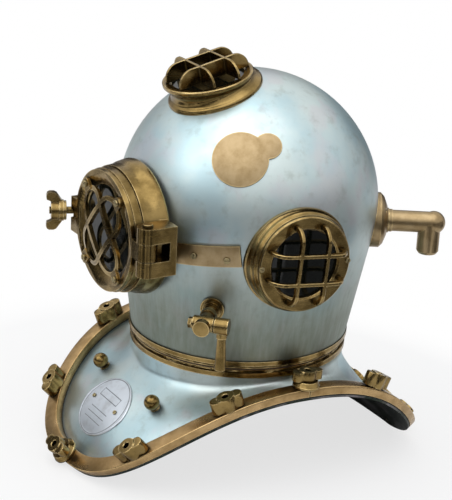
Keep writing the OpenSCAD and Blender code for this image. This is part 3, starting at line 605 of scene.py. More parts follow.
def loft(rows: Sequence[Sequence[Vector]], closed: bool) -> tuple[list[Vector], list[list[int]]]:
    """Join equal closed rows of points into a skin.

    Args:
        rows: the rows, each a closed loop.
        closed: whether the last row joins the first, or the ends get caps.

    Returns:
        The points and the faces.
    """
    count, size = len(rows), len(rows[0])
    points = [p for row in rows for p in row]
    faces = []
    for i in range(count if closed else count - 1):
        for j in range(size):
            a, b = i * size + j, i * size + (j + 1) % size
            c, d = (i + 1) % count * size + (j + 1) % size, (i + 1) % count * size + j
            faces.append([a, b, c, d])
    if not closed:
        faces.append(list(range(size)))
        faces.append([(count - 1) * size + j for j in range(size)])
    return points, faces


def turned(name: str, outline: Outline, steps: int) -> bpy.types.Object:
    """Turn a closed outline of radius and height, in mm, about the z axis."""
    points, faces = loft([[polar(r, angle, z) for r, z in outline] for angle in around(steps)], True)
    return make_piece(name, points, faces)


def settle(piece: bpy.types.Object) -> bpy.types.Object:
    """Apply a piece's modifiers by taking its evaluated mesh.

    Args:
        piece: the object with modifiers.

    Returns:
        The same object with a plain mesh.
    """
    bpy.context.view_layer.update()
    graph = bpy.context.evaluated_depsgraph_get()
    mesh = bpy.data.meshes.new_from_object(piece.evaluated_get(graph))
    piece.modifiers.clear()
    piece.data = mesh
    return piece


def rounded(piece: bpy.types.Object, width: float, segments: int) -> bpy.types.Object:
    """Round the sharp edges of a piece.

    Args:
        piece: the object.
        width: how far the rounding reaches, mm.
        segments: facets of the rounding.

    Returns:
        The same object, rounded.
    """
    bevel = piece.modifiers.new("round", "BEVEL")
    bevel.width = width * MM
    bevel.segments = segments
    bevel.limit_method = "ANGLE"
    bevel.angle_limit = math.radians(PACKED_SHARP)
    bevel.harden_normals = True
    return settle(piece)


@dataclass(frozen=True)
class Recess:
    """Step turned into the outside of a ring on the neck's axis; its bore, deeper than skin, stays."""

    radius: float
    start: float
    full: float
    depth: float
    skin: float = 1.0
    slack: float = 0.01

    def cut(self, work: bmesh.types.BMesh) -> None:
        """Cut the wall at both heights and draw in what lies beyond the second.

        Args:
            work: the ring's mesh, in metres.
        """
        base = neck_frame()
        up = base.to_3x3() @ Vector((0, 0, 1))
        for level in (self.start, self.full):
            everything = work.verts[:] + work.edges[:] + work.faces[:]
            at = (base @ Vector((0, 0, level))) * MM
            bmesh.ops.bisect_plane(work, geom=everything, plane_co=at, plane_no=up, dist=ON_PLANE)
        away = 1 if self.full > self.start else -1
        back = base.inverted()
        for vertex in work.verts:
            at = back @ (vertex.co / MM)
            reach = math.hypot(at.x, at.y)
            if reach > self.radius - self.skin and (at.z - self.full) * away > -self.slack:
                share = (reach - self.depth) / reach
                vertex.co = (base @ Vector((at.x * share, at.y * share, at.z))) * MM


def soften(node: str, width: float, segments: int = 3, recess: Recess | None = None) -> bpy.types.Object:
    """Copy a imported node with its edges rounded, dress it and let it stand for the node.

    Args:
        node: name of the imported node.
        width: how far the rounding reaches, mm.
        segments: facets of the rounding.
        recess: step turned into its outside first, or None.

    Returns:
        The dressed copy.
    """
    work = bmesh.new()
    work.from_mesh(frame["nodes"][node].data)
    bmesh.ops.remove_doubles(work, verts=work.verts, dist=MERGE)
    flat = math.radians(FLAT)
    bmesh.ops.dissolve_limit(work, angle_limit=flat, verts=work.verts, edges=work.edges)
    if recess:
        recess.cut(work)
    piece = put_mesh(node + "_round", work, PACKED_SHARP)
    return dress(rounded(piece, width, segments), node)


def dress(piece: bpy.types.Object, node: str) -> bpy.types.Object:
    """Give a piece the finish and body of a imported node, and let it stand for the node.

    Args:
        piece: the object.
        node: the node.

    Returns:
        The same object.
    """
    slot = SLOT_OF[node]
    piece.data.materials.clear()
    piece.data.materials.append(MATERIALS[slot])
    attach(piece, BODY_OF[node])
    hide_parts(node)
    log.info("%s stands for %s", piece.name, node)
    return piece


def turn_about(degrees: float, axis: str) -> Matrix:
    """Turn about one axis."""
    return Matrix.Rotation(math.radians(degrees), 4, axis)


def shift(x: float, y: float, z: float) -> Matrix:
    """Move by millimetres."""
    return Matrix.Translation((x, y, z))


def neck_frame() -> Matrix:
    """Frame of the neck joint: z up its axis."""
    return shift(0, 0, NECK_HEIGHT) @ turn_about(NECK_TILT, "X")


def port_frame(bearing: float, height: float) -> Matrix:
    """Frame on a port's axis, z outward, at degrees from the front toward the wearer's left."""
    return neck_frame() @ shift(0, 0, height) @ turn_about(bearing, "Z") @ turn_about(90, "X")


def stand(at: Vector, up: Vector, side: Vector) -> Matrix:
    """Frame at a point with z along up and x near side.

    Args:
        at: the point.
        up: direction of z.
        side: rough direction of x.

    Returns:
        The frame.
    """
    z = up.normalized()
    y = z.cross(side).normalized()
    turn = Matrix((y.cross(z), y, z)).transposed()
    return Matrix.Translation(at) @ turn.to_4x4()


# copies on marked places, by Geometry Nodes


def copies_tree() -> bpy.types.NodeTree:
    """Build the node tree that places copies, or give the one that is there.

    Returns:
        The tree, with the inputs Places, Pattern, Size and Finish.
    """
    found = bpy.data.node_groups.get("place_copies")
    if found:
        return found
    tree = bpy.data.node_groups.new("place_copies", "GeometryNodeTree")
    sockets = {"Places": "Geometry", "Pattern": "Object", "Size": "Float", "Finish": "Material"}
    for name, kind in sockets.items():
        tree.interface.new_socket(name, in_out="INPUT", socket_type="NodeSocket" + kind)
    tree.interface.new_socket("Copies", in_out="OUTPUT", socket_type="NodeSocketGeometry")
    write = Paint(tree)
    given = write.node("NodeGroupInput").outputs
    pattern = write.node("GeometryNodeObjectInfo", {}, {"Object": given["Pattern"]})
    settings = {"data_type": "FLOAT_VECTOR"}
    stored = write.node("GeometryNodeInputNamedAttribute", settings, {"Name": "turn"})
    facing = write.node("FunctionNodeEulerToRotation", {}, {0: stored.outputs["Attribute"]})
    copies = write.node("GeometryNodeInstanceOnPoints", {}, {
        "Points": given["Places"], "Instance": pattern.outputs["Geometry"],
        "Rotation": facing.outputs[0], "Scale": given["Size"]})
    solid = write.node("GeometryNodeRealizeInstances", {}, {0: copies.outputs[0]})
    inputs = {"Geometry": solid.outputs[0], "Material": given["Finish"]}
    done = write.node("GeometryNodeSetMaterial", {}, inputs)
    write.node("NodeGroupOutput", {}, {"Copies": done.outputs[0]})
    return tree


def scatter(name: str, places: Sequence[Matrix], pattern: bpy.types.Object, node: str) -> bpy.types.Object:
    """Make one mesh of copies of a pattern on marked places and dress it.

    Args:
        name: name of the new piece.
        places: where the copies stand, mm.
        pattern: the object that is copied; it is removed afterwards.
        node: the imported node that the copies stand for.

    Returns:
        The dressed piece.
    """
    mesh = bpy.data.meshes.new(name)
    mesh.from_pydata([place.to_translation() * MM for place in places], [], [])
    turns = mesh.attributes.new("turn", "FLOAT_VECTOR", "POINT")
    for number, place in enumerate(places):
        turns.data[number].vector = place.to_euler()
    piece = put(name, mesh)
    tree = copies_tree()
    copies = piece.modifiers.new("copies", "NODES")
    copies.node_group = tree
    values = {"Pattern": pattern, "Size": 1.0, "Finish": MATERIALS[SLOT_OF[node]]}
    for item in tree.interface.items_tree:
        if item.name in values:
            copies[item.identifier] = values[item.name]
    settle(piece)
    bpy.data.objects.remove(pattern)
    return dress(piece, node)


@dataclass(frozen=True)
class SlottedScrew:
    """Round-edged screw head with a slot, standing on z = 0."""

    radius: float
    height: float

    def build(self) -> bpy.types.Object:
        """Build the pattern: a low disc with two half discs on it.

        Returns:
            The pattern object.
        """
        floor, half = 0.45 * self.height, 0.15 * self.radius
        start = math.degrees(math.asin(half / self.radius))
        slabs = [([math.radians(a) for a in range(0, 360, 15)], 0.0, floor)]
        for side in (0, 180):
            arc = [math.radians(side + start + k * (180 - 2 * start) / 12) for k in range(13)]
            slabs.append((arc, floor * 0.5, self.height))
        points: list[Vector] = []
        faces: list[list[int]] = []
        for arc, low, high in slabs:
            more, sides = loft([[polar(self.radius, a, z) for a in arc] for z in (low, high)], False)
            faces += [[n + len(points) for n in face] for face in sides]
            points += more
        return rounded(make_piece("screw_pattern", points, faces), 0.12 * self.radius, 2)

    def spread(self, name: str, places: Sequence[Matrix], node: str) -> bpy.types.Object:
        """Put a screw on each place; together they stand for a node."""
        return scatter(name, places, self.build(), node)


# breastplate


def signed_power(value: float, power: float) -> float:
    """Raise a number to a power and keep its sign."""
    return math.copysign(abs(value) ** power, value)


@dataclass(frozen=True)
class Rim:
    """The saddle-shaped rim: a squared oval that falls toward front and rear."""

    half_width: float = 156.0
    front: float = 217.0
    rear: float = 216.6
    fall: float = 117.0
    shoulder: float = 123.0
    front_square: float = 2.55
    rear_square: float = 3.13
    front_power: float = 2.31
    rear_power: float = 2.46

    def flat(self, t: float) -> tuple[float, float]:
        """Place seen from above.

        Args:
            t: the rim's parameter, degrees.

        Returns:
            x and y, mm.
        """
        c, s = math.cos(math.radians(t)), math.sin(math.radians(t))
        length, square = (self.front, self.front_square) if s < 0 else (self.rear, self.rear_square)
        return self.half_width * signed_power(c, 2 / square), length * signed_power(s, 2 / square)

    def reach(self, y: float) -> float:
        """How far toward the lobe's end y lies, 0 to 1."""
        return min(1.0, abs(y) / (self.front if y < 0 else self.rear))

    def point(self, t: float) -> Vector:
        """Point on the rim's outer upper edge.

        Args:
            t: the rim's parameter, degrees.

        Returns:
            The point, mm.
        """
        x, y = self.flat(t)
        power = self.front_power if y < 0 else self.rear_power
        return Vector((x, y, self.shoulder - self.fall * self.reach(y) ** power))

    def up(self, t: float) -> Vector:
        """Normal of the rim's face.

        Args:
            t: the rim's parameter, degrees.

        Returns:
            The direction.
        """
        y = self.flat(t)[1]
        size, power = (self.front, self.front_power) if y < 0 else (-self.rear, self.rear_power)
        rise = self.fall * power / size * self.reach(y) ** (power - 1)
        return Vector((0, -rise, 1)).normalized()

    def along(self, t: float) -> Vector:
        """Direction along the rim.

        Args:
            t: the rim's parameter, degrees.

        Returns:
            The direction.
        """
        normal = self.up(t)
        step = self.point(t + 0.4) - self.point(t - 0.4)
        return (step - step.dot(normal) * normal).normalized()

    def inward(self, t: float) -> Vector:
        """Direction across the rim's face, to the inside."""
        return self.up(t).cross(self.along(t))

    def at(self, t: float, inside: float, down: float) -> Vector:
        """Point moved inward over the rim's face and down through its layers, mm."""
        return self.point(t) + inside * self.inward(t) - down * self.up(t)

    def place(self, t: float, inside: float) -> Matrix:
        """Frame on the rim's face, z along its normal and x along the rim."""
        return stand(self.at(t, inside, 0.0), self.up(t), self.along(t))


@dataclass(frozen=True)
class Skin:
    """The breastplate's skin, from the neck's foot to the rim."""

    rim: Rim = Rim()
    neck: float = 122.0
    foot: float = 3.0
    foot_extra: float = 12.0
    edge: float = 19.0
    layers: float = 10.7
    thick: float = 2.2
    foot_power: float = 1.5
    bulge: float = 0.175
    near_pull: float = 0.12
    far_pull: float = 0.55
    rows: int = 30
    t_step: float = 0.2
    s_step: float = 0.002

    def neck_point(self, radius: float, t: float, z: float) -> Vector:
        """Point around the neck's axis."""
        return neck_frame() @ polar(radius, math.radians(t), z)

    def row(self, t: float, s: float, d: float = 0.0) -> Vector:
        """Point of the skin.

        Args:
            t: parameter around, degrees.
            s: 0 at the neck's foot, 1 at the rim.
            d: how far below the outer skin, mm.

        Returns:
            The point.
        """
        rise = abs(math.sin(math.radians(t))) ** self.foot_power
        start = self.neck_point(self.neck - d, t, -self.foot - self.foot_extra * rise)
        end = self.rim.at(t, self.edge, self.layers + d)
        length = (end - start).length
        belly = self.bulge * (1 - math.sin(math.radians(t)))
        near = start - Vector((0, 0, self.near_pull * length))
        pull = (self.rim.inward(t) + belly * self.rim.up(t)).normalized()
        far = end + self.far_pull * length * pull
        u = 1 - s
        return u ** 3 * start + 3 * u * u * s * near + 3 * u * s * s * far + s ** 3 * end

    def normal(self, t: float, s: float) -> Vector:
        """Outward normal of the skin.

        Args:
            t: parameter around, degrees.
            s: 0 at the neck's foot, 1 at the rim.

        Returns:
            The direction.
        """
        along = self.row(t + 1, s) - self.row(t - 1, s)
        down = self.row(t, s + 0.02) - self.row(t, s - 0.02)
        return down.cross(along).normalized()

    def place(self, t: float, s: float) -> Matrix:
        """Frame on the skin, z along its normal."""
        return stand(self.row(t, s), self.normal(t, s), self.row(t + 1, s) - self.row(t - 1, s))

    def line(self, t: float, d: float) -> list[Vector]:
        """Points of the skin from the neck to the rim's edge.

        Args:
            t: parameter around, degrees.
            d: how far below the outer skin, mm.

        Returns:
            The points, none of them under the floor.
        """
        points = [self.neck_point(self.neck - d, t, 0)]
        points += [self.row(t, k / self.rows, d) for k in range(self.rows + 1)]
        points += [self.rim.at(t, self.edge * (1 - k / 4), self.layers + d) for k in range(1, 5)]
        return [on_floor(point) for point in points]

    def find(self, place: Matrix, x: float, y: float, d: float,
             guess: tuple[float, float]) -> tuple[float, float]:
        """Find the skin's parameters under a point of a tangent plane.

        Args:
            place: the plane's frame.
            x: place across the plane, mm.
            y: place up the plane, mm.
            d: how far below the outer skin, mm.
            guess: where the search starts.

        Returns:
            t and s of the point.
        """
        flat = place.inverted()
        t, s = guess
        for _ in range(5):
            here = flat @ self.row(t, s, d)
            by_t = (flat @ self.row(t + self.t_step, s, d) - here) / self.t_step
            by_s = (flat @ self.row(t, s + self.s_step, d) - here) / self.s_step
            off_x, off_y = x - here.x, y - here.y
            det = by_t.x * by_s.y - by_t.y * by_s.x
            t += (off_x * by_s.y - off_y * by_s.x) / det
            s += (by_t.x * off_y - by_t.y * off_x) / det
        return t, s


@dataclass(frozen=True)
class Brails:
    """The four clamping straps of the rim and the rubber collar under them."""

    rim: Rim = Rim()
    width: float = 18.0
    height: float = 9.5
    gap: float = 0.01
    steps: int = 80
    big: float = 1.4
    small: float = 0.5
    sheet: tuple[float, float] = (9.6, 10.6)
    sheet_inset: float = 0.6
    names: tuple[str, ...] = ("brail_rear_left", "brail_rear_right", "brail_front_right",
                              "brail_front_left")

    def section(self) -> list[tuple[float, float]]:
        """Outline of the strap as inward distance and depth, its top edges rounded wider.

        Returns:
            The outline.
        """
        big, small = self.big, self.small
        wide, low = self.width - small, self.height - small
        corners = ((big, big, big, 180), (self.width - big, big, big, 270), (wide, low, small, 0),
                   (small, low, small, 90))
        outline = []
        for x, y, radius, first in corners:
            for k in range(5):
                angle = math.radians(first + 90 * k / 4)
                outline.append((x + radius * math.cos(angle), y + radius * math.sin(angle)))
        return outline

    def sweep(self, name: str, angles: Sequence[float], outline: Outline, closed: bool,
              node: str) -> bpy.types.Object:
        """Sweep an outline along the rim.

        Args:
            name: name of the piece.
            angles: the rim's parameter at each row, degrees.
            outline: inward distance and depth of each point, mm.
            closed: whether the sweep goes all the way round.
            node: the node that the piece stands for.

        Returns:
            The dressed piece.
        """
        rows = [[on_floor(self.rim.at(t, x, y)) for x, y in outline] for t in angles]
        points, faces = loft(rows, closed)
        return dress(make_piece(name, points, faces), node)

    def build(self) -> list[bpy.types.Object]:
        """Sweep the four straps and the collar.

        Returns:
            The dressed pieces.
        """
        made = []
        for quarter, name in enumerate(self.names):
            step = (90 - 2 * self.gap) / self.steps
            angles = [quarter * 90 + self.gap + k * step for k in range(self.steps + 1)]
            made.append(self.sweep(name + "_strap", angles, self.section(), False, name))
        inner, outer = self.sheet_inset, self.width
        top, foot = self.sheet
        corners = ((inner, top), (outer, top), (outer, foot), (inner, foot))
        angles = [k * 1.5 for k in range(240)]
        made.append(self.sweep("collar_strip", angles, corners, True, "collar_gasket"))
        return made


@dataclass(frozen=True)
class RimNut:
    """Winged nut of the rim: a round boss between two lobes, with crisp edges and a bored middle."""

    height: float
    boss: float = 9.5
    lobe: float = 6.5
    lobe_at: float = 12.0
    lift: float = 0.7
    step: float = 1.0
    bore: float = 3.6
    band: float = 0.7
    fade: float = 2.5
    blend: float = 2.0
    sides: int = 72

    def radius(self, angle: float) -> float:
        """Reach of the outline in one direction, boss and lobe blended.

        Args:
            angle: direction, radians.

        Returns:
            The reach, mm.
        """
        off = abs(self.lobe_at * math.sin(angle))
        if off >= self.lobe + self.fade:
            return self.boss
        ease = min(off, self.lobe * 0.985)
        lobe = self.lobe_at * abs(math.cos(angle)) + math.sqrt(self.lobe ** 2 - ease ** 2)
        share = max(0.0, min(1.0, 0.5 + 0.5 * (lobe - self.boss) / self.blend))
        return self.boss * (1 - share) + lobe * share

    def side(self, angle: float, base: float) -> list[Vector]:
        """Outline of the nut in one direction, from the bore's foot round to the bore's mouth.

        Args:
            angle: direction, radians.
            base: height of the nut's foot, mm.

        Returns:
            The points.
        """
        far = self.radius(angle)
        on_lobe = far > self.boss + self.band
        foot = self.lift if on_lobe else 0.0
        high = self.height
        edge = high - self.step if on_lobe else high
        outer, inner = far - self.band, self.bore + self.band
        fall, rise = min(self.boss + self.band, far - 1.0), min(self.boss - 0.1, far - 1.3)
        stations = [(self.bore, 0.3), (far - 1.0, foot), (far - 0.25, foot + 0.2), (far, foot + 0.8),
                    (far, high / 2), (far, edge - self.band), (far - 0.2, edge - 0.2), (outer, edge),
                    ((outer + fall) / 2, edge), (fall, edge), (rise, high), ((rise + inner) / 2, high),
                    (inner, high), (self.bore, high - self.band)]
        return [polar(r, angle, base + z) for r, z in stations]

    def build(self, base: float, disc: float = 0.0) -> bpy.types.Object:
        """Build the pattern.

        Args:
            base: height of its foot, mm.
            disc: radius of a round flange under it, or 0 for none.

        Returns:
            The pattern object.
        """
        angles = around(self.sides)
        points, faces = loft([self.side(angle, base) for angle in angles], True)
        if disc:
            bore = self.bore + 0.1
            outline = ((bore, 0.15), (disc - 0.4, 0.15), (disc, 0.6), (disc, 2.6), (disc - 0.8, 3.3),
                       (disc - 2.0, base - 0.9), (disc - 2.8, base), (bore, base + 0.02))
            more, more_faces = loft([[polar(r, a, z) for r, z in outline] for a in angles], True)
            faces += [[n + len(points) for n in face] for face in more_faces]
            points += more
        return make_piece("nut_pattern", points, faces, 40)


@dataclass(frozen=True)
class RimFasteners:
    """Twelve studs with their nuts, around the rim."""

    rim: Rim = Rim()
    plain: tuple[float, ...] = (16.5, 80, 100, 163.5, 200, 233, 307, 340)
    flanged: tuple[float, ...] = (0, 90, 180, 270)
    middle: float = 9.0
    seat: float = 0.15
    flange: float = 15.0
    flange_height: float = 8.0
    plain_height: float = 17.0
    flanged_height: float = 12.0
    stud: float = 3.5
    stud_foot: float = -12.9
    stud_short: float = 5.0

    def build(self) -> list[bpy.types.Object]:
        """Put nuts and studs on the rim.

        Returns:
            The dressed pieces.
        """
        made = []
        for word, angles, base, height, disc in (
                ("plain", self.plain, self.seat, self.plain_height, 0.0),
                ("flanged", self.flanged, self.flange_height, self.flanged_height, self.flange)):
            places = [self.rim.place(t, self.middle) for t in angles]
            nut = RimNut(height).build(base, disc)
            made.append(scatter(f"rim_{word}_nuts", places, nut, f"{word}_nuts"))
            stud = self.stud_pattern(base + height - self.stud_short)
            made.append(scatter(f"rim_{word}_studs", places, stud, "rim_studs"))
        return made

    def stud_pattern(self, end: float) -> bpy.types.Object:
        """Stud with a chamfered end.

        Args:
            end: height of the end over the strap, mm.

        Returns:
            The pattern object.
        """
        outline = ((0.05, self.stud_foot), (self.stud, self.stud_foot), (self.stud, end - 0.9),
                   (self.stud - 0.9, end), (0.05, end))
        return turned("stud_pattern", outline, 24)


@dataclass(frozen=True)
class Nameplate:
    """Round plate on the front of the skin, with a raised border and screws; it bears no words."""

    skin: Skin = Skin()
    t: float = 270.0
    s: float = 0.67
    radius: float = 41.0
    flat: float = 4.0
    height: float = 1.6
    screw_at: float = 10.5
    sides: int = 72

    def reach(self, angle: float) -> float:
        """Reach of the lens-shaped outline: two circles moved apart up and down.

        Args:
            angle: direction, radians.

        Returns:
            The reach, mm.
        """
        off = self.flat * abs(math.sin(angle))
        across = self.flat * math.cos(angle)
        return -off + math.sqrt(self.radius ** 2 - across ** 2)

    def build(self) -> list[bpy.types.Object]:
        """Build the plate and its screws.

        Returns:
            The dressed pieces.
        """
        place = self.skin.place(self.t, self.s)
        top = 0.3 - self.height
        stations = ((1.0, -0.05), (1.0, -self.height * 0.7), (0.985, top - 0.4), (0.95, top - 0.45),
                    (0.925, top - 0.05), (0.90, top), (0.7, top), (0.45, top), (0.22, top), (0.02, top))
        rows = []
        for angle in around(self.sides):
            guess = (self.t, self.s)
            row = []
            for share, depth in stations:
                flat = polar(self.reach(angle) * share, angle, 0)
                guess = self.skin.find(place, flat.x, flat.y, depth, guess)
                row.append(self.skin.row(*guess, depth))
            rows.append(row)
        points, faces = loft([list(ring) for ring in zip(*rows)], False)
        plate = make_piece("front_plate", points, faces, 50)
        self.map_face(plate, place)
        screws = []
        for side in (-1, 1):
            at = self.skin.place(self.t + side * self.screw_at, self.s)
            screws.append(at @ shift(0, 0, self.height) @ turn_about(40 * side, "Z"))
        head = SlottedScrew(radius=2.4, height=1.1)
        heads = head.spread("plate_screws", screws, "nameplate_screws")
        return [dress(plate, "nameplate"), heads]

    def map_face(self, plate: bpy.types.Object, place: Matrix) -> None:
        """Lay a map over the plate, -1 to 1 across it.

        Args:
            plate: the plate's object.
            place: the frame at its middle, mm.
        """
        flat = place.inverted()
        layer = plate.data.uv_layers.new(name="face")
        for loop in plate.data.loops:
            at = flat @ (plate.data.vertices[loop.vertex_index].co / MM)
            layer.data[loop.index].uv = (at.x / self.radius, at.y / self.radius)


@dataclass(frozen=True)
class Breastplate:
    """Skin, neck ring, lanyard studs and nameplate."""

    skin: Skin = Skin()
    sides: int = 288
    ball: float = 8.8
    ball_at: float = 9.5
    groove: Recess = Recess(radius=124.0, start=5.4, full=6.6, depth=2.2)
    stalk: float = 4.0
    lanyards: tuple[float, ...] = (236, 304)
    lanyard_s: float = 0.55

    def build(self) -> list[bpy.types.Object]:
        """Build the breastplate's pieces.

        Returns:
            The dressed pieces.
        """
        rows = []
        for k in range(self.sides):
            t = k * 360 / self.sides
            rows.append(self.skin.line(t, 0) + self.skin.line(t, self.skin.thick)[::-1])
        points, faces = loft(rows, True)
        skin = dress(make_piece("breastplate_skin", points, faces, 40), "breastplate_shell")
        self.shade_inside(skin, len(rows[0]))
        ring = soften("breastplate_neck_ring", 0.9, 3, self.groove)
        made = [skin, ring, soften("neck_gasket", 0.3, 2), *Nameplate(self.skin).build()]
        places = [self.skin.place(t, self.lanyard_s) for t in self.lanyards]
        made.append(scatter("lanyard_balls", places, self.ball_pattern(), "lanyard_studs"))
        return made

    def ball_pattern(self) -> bpy.types.Object:
        """Build a lanyard stud: a ball on a stalk with a round foot.

        Returns:
            The pattern object.
        """
        foot = self.stalk + 2.2
        outline = [(0.05, -2.0), (self.stalk, -2.0), (self.stalk, 0.0), (foot, 0.05), (foot, 1.1),
                   (self.stalk + 0.4, 2.2), (self.stalk, 3.0)]
        for k in range(15):
            at = polar(self.ball, math.radians(-62 + 150 * k / 14), 0)
            outline.append((max(0.05, at.x), self.ball_at + at.y))
        return turned("ball_pattern", outline, 40)

    def shade_inside(self, skin: bpy.types.Object, size: int) -> None:
        """Paint shade onto the inner faces and the rim's edge, with the darkened tinned finish of the
        inside.

        Args:
            skin: the skin's object.
            size: how many faces each row of the skin has, the outer half first.
        """
        skin.data.materials.append(PAINTED_SHADE_INSIDE)
        for face in skin.data.polygons:
            if size // 2 - 1 <= face.index % size < size - 1:
                face.material_index = 1


# bonnet


@dataclass(frozen=True)
class Bonnet:
    """Spun crown with its neck ring, doubling plate and the straps between the ports."""

    radius: float = 146.0
    cone: float = 9.2
    crown: float = 166.0
    crown_back: float = 4.5
    strap_height: float = 143.5
    strap_thick: float = 2.6
    strap_screws: tuple[float, ...] = (37.5, 52)
    back_share: float = 0.85
    groove: Recess = Recess(radius=126.0, start=14.6, full=13.2, depth=2.6)

    def strap_face(self, bearing: float) -> float:
        """Distance of the strap's face from the neck's axis.

        Args:
            bearing: degrees from the front toward the wearer's left.

        Returns:
            The distance, mm.
        """
        slope = math.radians(self.cone)
        wall = self.radius / math.cos(slope) - (self.crown - self.strap_height) * math.tan(slope)
        back = self.back_share * self.crown_back * math.cos(math.radians(bearing))
        return wall - back + self.strap_thick

    def build(self) -> list[bpy.types.Object]:
        """Build the bonnet's own pieces.

        Returns:
            The dressed pieces.
        """
        ring = soften("bonnet_neck_ring", 0.9, 3, self.groove)
        made = [ring, soften("bonnet_plate", 0.6, 2), soften("port_straps", 0.7, 2)]
        places = []
        for side in (-1, 1):
            for bearing in self.strap_screws:
                axis = port_frame(side * bearing, self.strap_height - 1)
                face = shift(0, 0, self.strap_face(bearing))
                places.append(axis @ face @ turn_about(bearing * 7 * side, "Z"))
        head = SlottedScrew(radius=3.4, height=1.5)
        return [*made, head.spread("strap_screw_heads", places, "strap_screws")]


@dataclass(frozen=True)
class FaceDoor:
    """Face port housing, hinged door with its guard, pins, and the swing bolt with its nut."""

    height: float = 151.0
    front: float = 177.0
    tab: float = 56.5
    tab_angle: float = 49.0
    foot: float = 3.5
    rounding: tuple[tuple[str, float, int], ...] = (
        ("face_port_housing", 0.9, 3), ("door_frame", 0.9, 3), ("door_guard", 1.5, 3),
        ("door_hinge_pin", 0.6, 2), ("bolt_pivot_pin", 0.4, 2), ("swing_bolt", 0.7, 2),
        ("bolt_washer", 0.5, 2), ("wing_nut", 1.3, 3))

    def build(self) -> list[bpy.types.Object]:
        """Build the face port's pieces.

        Returns:
            The dressed pieces.
        """
        made = [soften(node, width, segments) for node, width, segments in self.rounding]
        places = []
        for number, angle in enumerate((self.tab_angle, 180 - self.tab_angle, 180 + self.tab_angle,
                                        -self.tab_angle)):
            tab = polar(self.tab, math.radians(angle), self.front + self.foot)
            axis = port_frame(0, self.height) @ Matrix.Translation(tab)
            places.append(axis @ turn_about(37 * number, "Z"))
        head = SlottedScrew(radius=3.6, height=2.2)
        return [*made, head.spread("guard_screw_heads", places, "door_guard_screws")]


class Side(Enum):
    """The two side ports."""

    LEFT = 1
    RIGHT = -1


@dataclass(frozen=True)
class SidePort:
    """Side port: base, face ring, guard of crossing bars and two screws."""

    side: Side
    height: float = 142.4
    bearing: float = 83.2
    screw_at: float = 50.2
    front: float = 158.0

    def build(self) -> list[bpy.types.Object]:
        """Build the port's pieces.

        Returns:
            The dressed pieces.
        """
        word = self.side.name.lower()
        made = [soften(f"side_{part}_{word}", width)
                for part, width in (("port", 0.8), ("face", 0.6), ("guard", 1.1))]
        places = []
        for end in (-1, 1):
            axis = port_frame(self.side.value * self.bearing, self.height)
            at = axis @ shift(end * self.screw_at, 0, self.front - 0.6)
            places.append(at @ turn_about(25 + 50 * end, "Z"))
        head = SlottedScrew(radius=2.7, height=2.2)
        return [*made, head.spread(f"side_screw_heads_{word}", places, f"side_screws_{word}")]


@dataclass(frozen=True)
class TopPort:
    """Top port: a flared collar between a bead on the crown and a wide rim, with crossing plates."""

    bonnet: Bonnet = Bonnet()
    foot_tilt: float = 21.0
    foot_r: float = 53.0
    tilt: float = 13.5
    back: float = 19.6
    rim_r: float = 50.0
    rim_at: float = 321.4
    bore: float = 40.0
    steps: int = 120

    def foot(self, angle: float, radius: float, out: float) -> Vector:
        """Point of a circle round the foot's axis, at a distance over the crown.

        Args:
            angle: place round the axis, radians.
            radius: the circle's radius, mm.
            out: height over the crown's surface, mm.

        Returns:
            The point.
        """
        crown = shift(0, self.bonnet.crown_back, self.bonnet.crown)
        axis = neck_frame() @ crown @ turn_about(self.foot_tilt, "X")
        high = math.sqrt((self.bonnet.radius + out) ** 2 - radius ** 2)
        return axis @ polar(radius, angle, high)

    def rim(self, angle: float, radius: float, at: float) -> Vector:
        """Point of a circle round the rim's axis."""
        axis = neck_frame() @ shift(0, self.back, 0) @ turn_about(self.tilt, "X")
        return axis @ polar(radius, angle, at)

    def build(self) -> list[bpy.types.Object]:
        """Build the collar and round the guard.

        Returns:
            The dressed pieces.
        """
        bead = ((-6.0, 0.2), (0.0, 0.2), (0.0, 2.6), (-0.8, 4.0), (-2.2, 4.5), (-3.4, 4.7))
        edge = ((self.rim_r - 0.7, 5.0), (self.rim_r, 4.0), (self.rim_r, 0.9), (self.rim_r - 0.9, 0.0),
                (self.bore + 3.4, 0.0), (self.bore + 2.4, 0.5), (self.bore + 1.9, 1.4),
                (self.bore, 1.6), (self.bore, 11.0))
        rows = []
        for angle in around(self.steps):
            row = [self.foot(angle, self.foot_r + wider, out) for wider, out in bead]
            row += self.flare(angle)
            row += [self.rim(angle, radius, self.rim_at - down) for radius, down in edge]
            row.append(self.foot(angle, self.bore, 0.4))
            rows.append(row)
        points, faces = loft(rows, True)
        collar = dress(make_piece("top_collar", points, faces, 40), "top_port")
        return [collar, soften("top_guard", 0.8)]

    def flare(self, angle: float) -> list[Vector]:
        """Hollow curve of the collar's side, from the bead up to the rim.

        Args:
            angle: place round the axis, radians.

        Returns:
            The points.
        """
        low = self.foot(angle, self.foot_r - 4.2, 5.4)
        high = self.rim(angle, self.rim_r - 2.4, self.rim_at - 6.0)
        middle = (self.foot(angle, 0.1, 10) + self.rim(angle, 0.1, self.rim_at - 8)) / 2
        side = []
        for k in range(9):
            share = k / 8
            point = low.lerp(high, share)
            hollow = 3.0 * math.sin(math.pi * share) * (1 - 0.3 * share)
            side.append(point + (middle - point).normalized() * hollow)
        return side


@dataclass(frozen=True)
class Fittings:
    """Spitcock, air elbow and exhaust valve, with rounded castings."""

    rounding: tuple[tuple[str, float], ...] = (
        ("spitcock_body", 0.7), ("spitcock_plug", 0.7), ("spitcock_nut", 0.4), ("elbow_flange", 0.8),
        ("air_elbow", 0.8), ("exhaust_body", 0.8), ("exhaust_cover", 0.6), ("exhaust_wheel", 1.2))

    def build(self) -> list[bpy.types.Object]:
        """Round each fitting."""
        return [soften(node, width) for node, width in self.rounding]


# studio


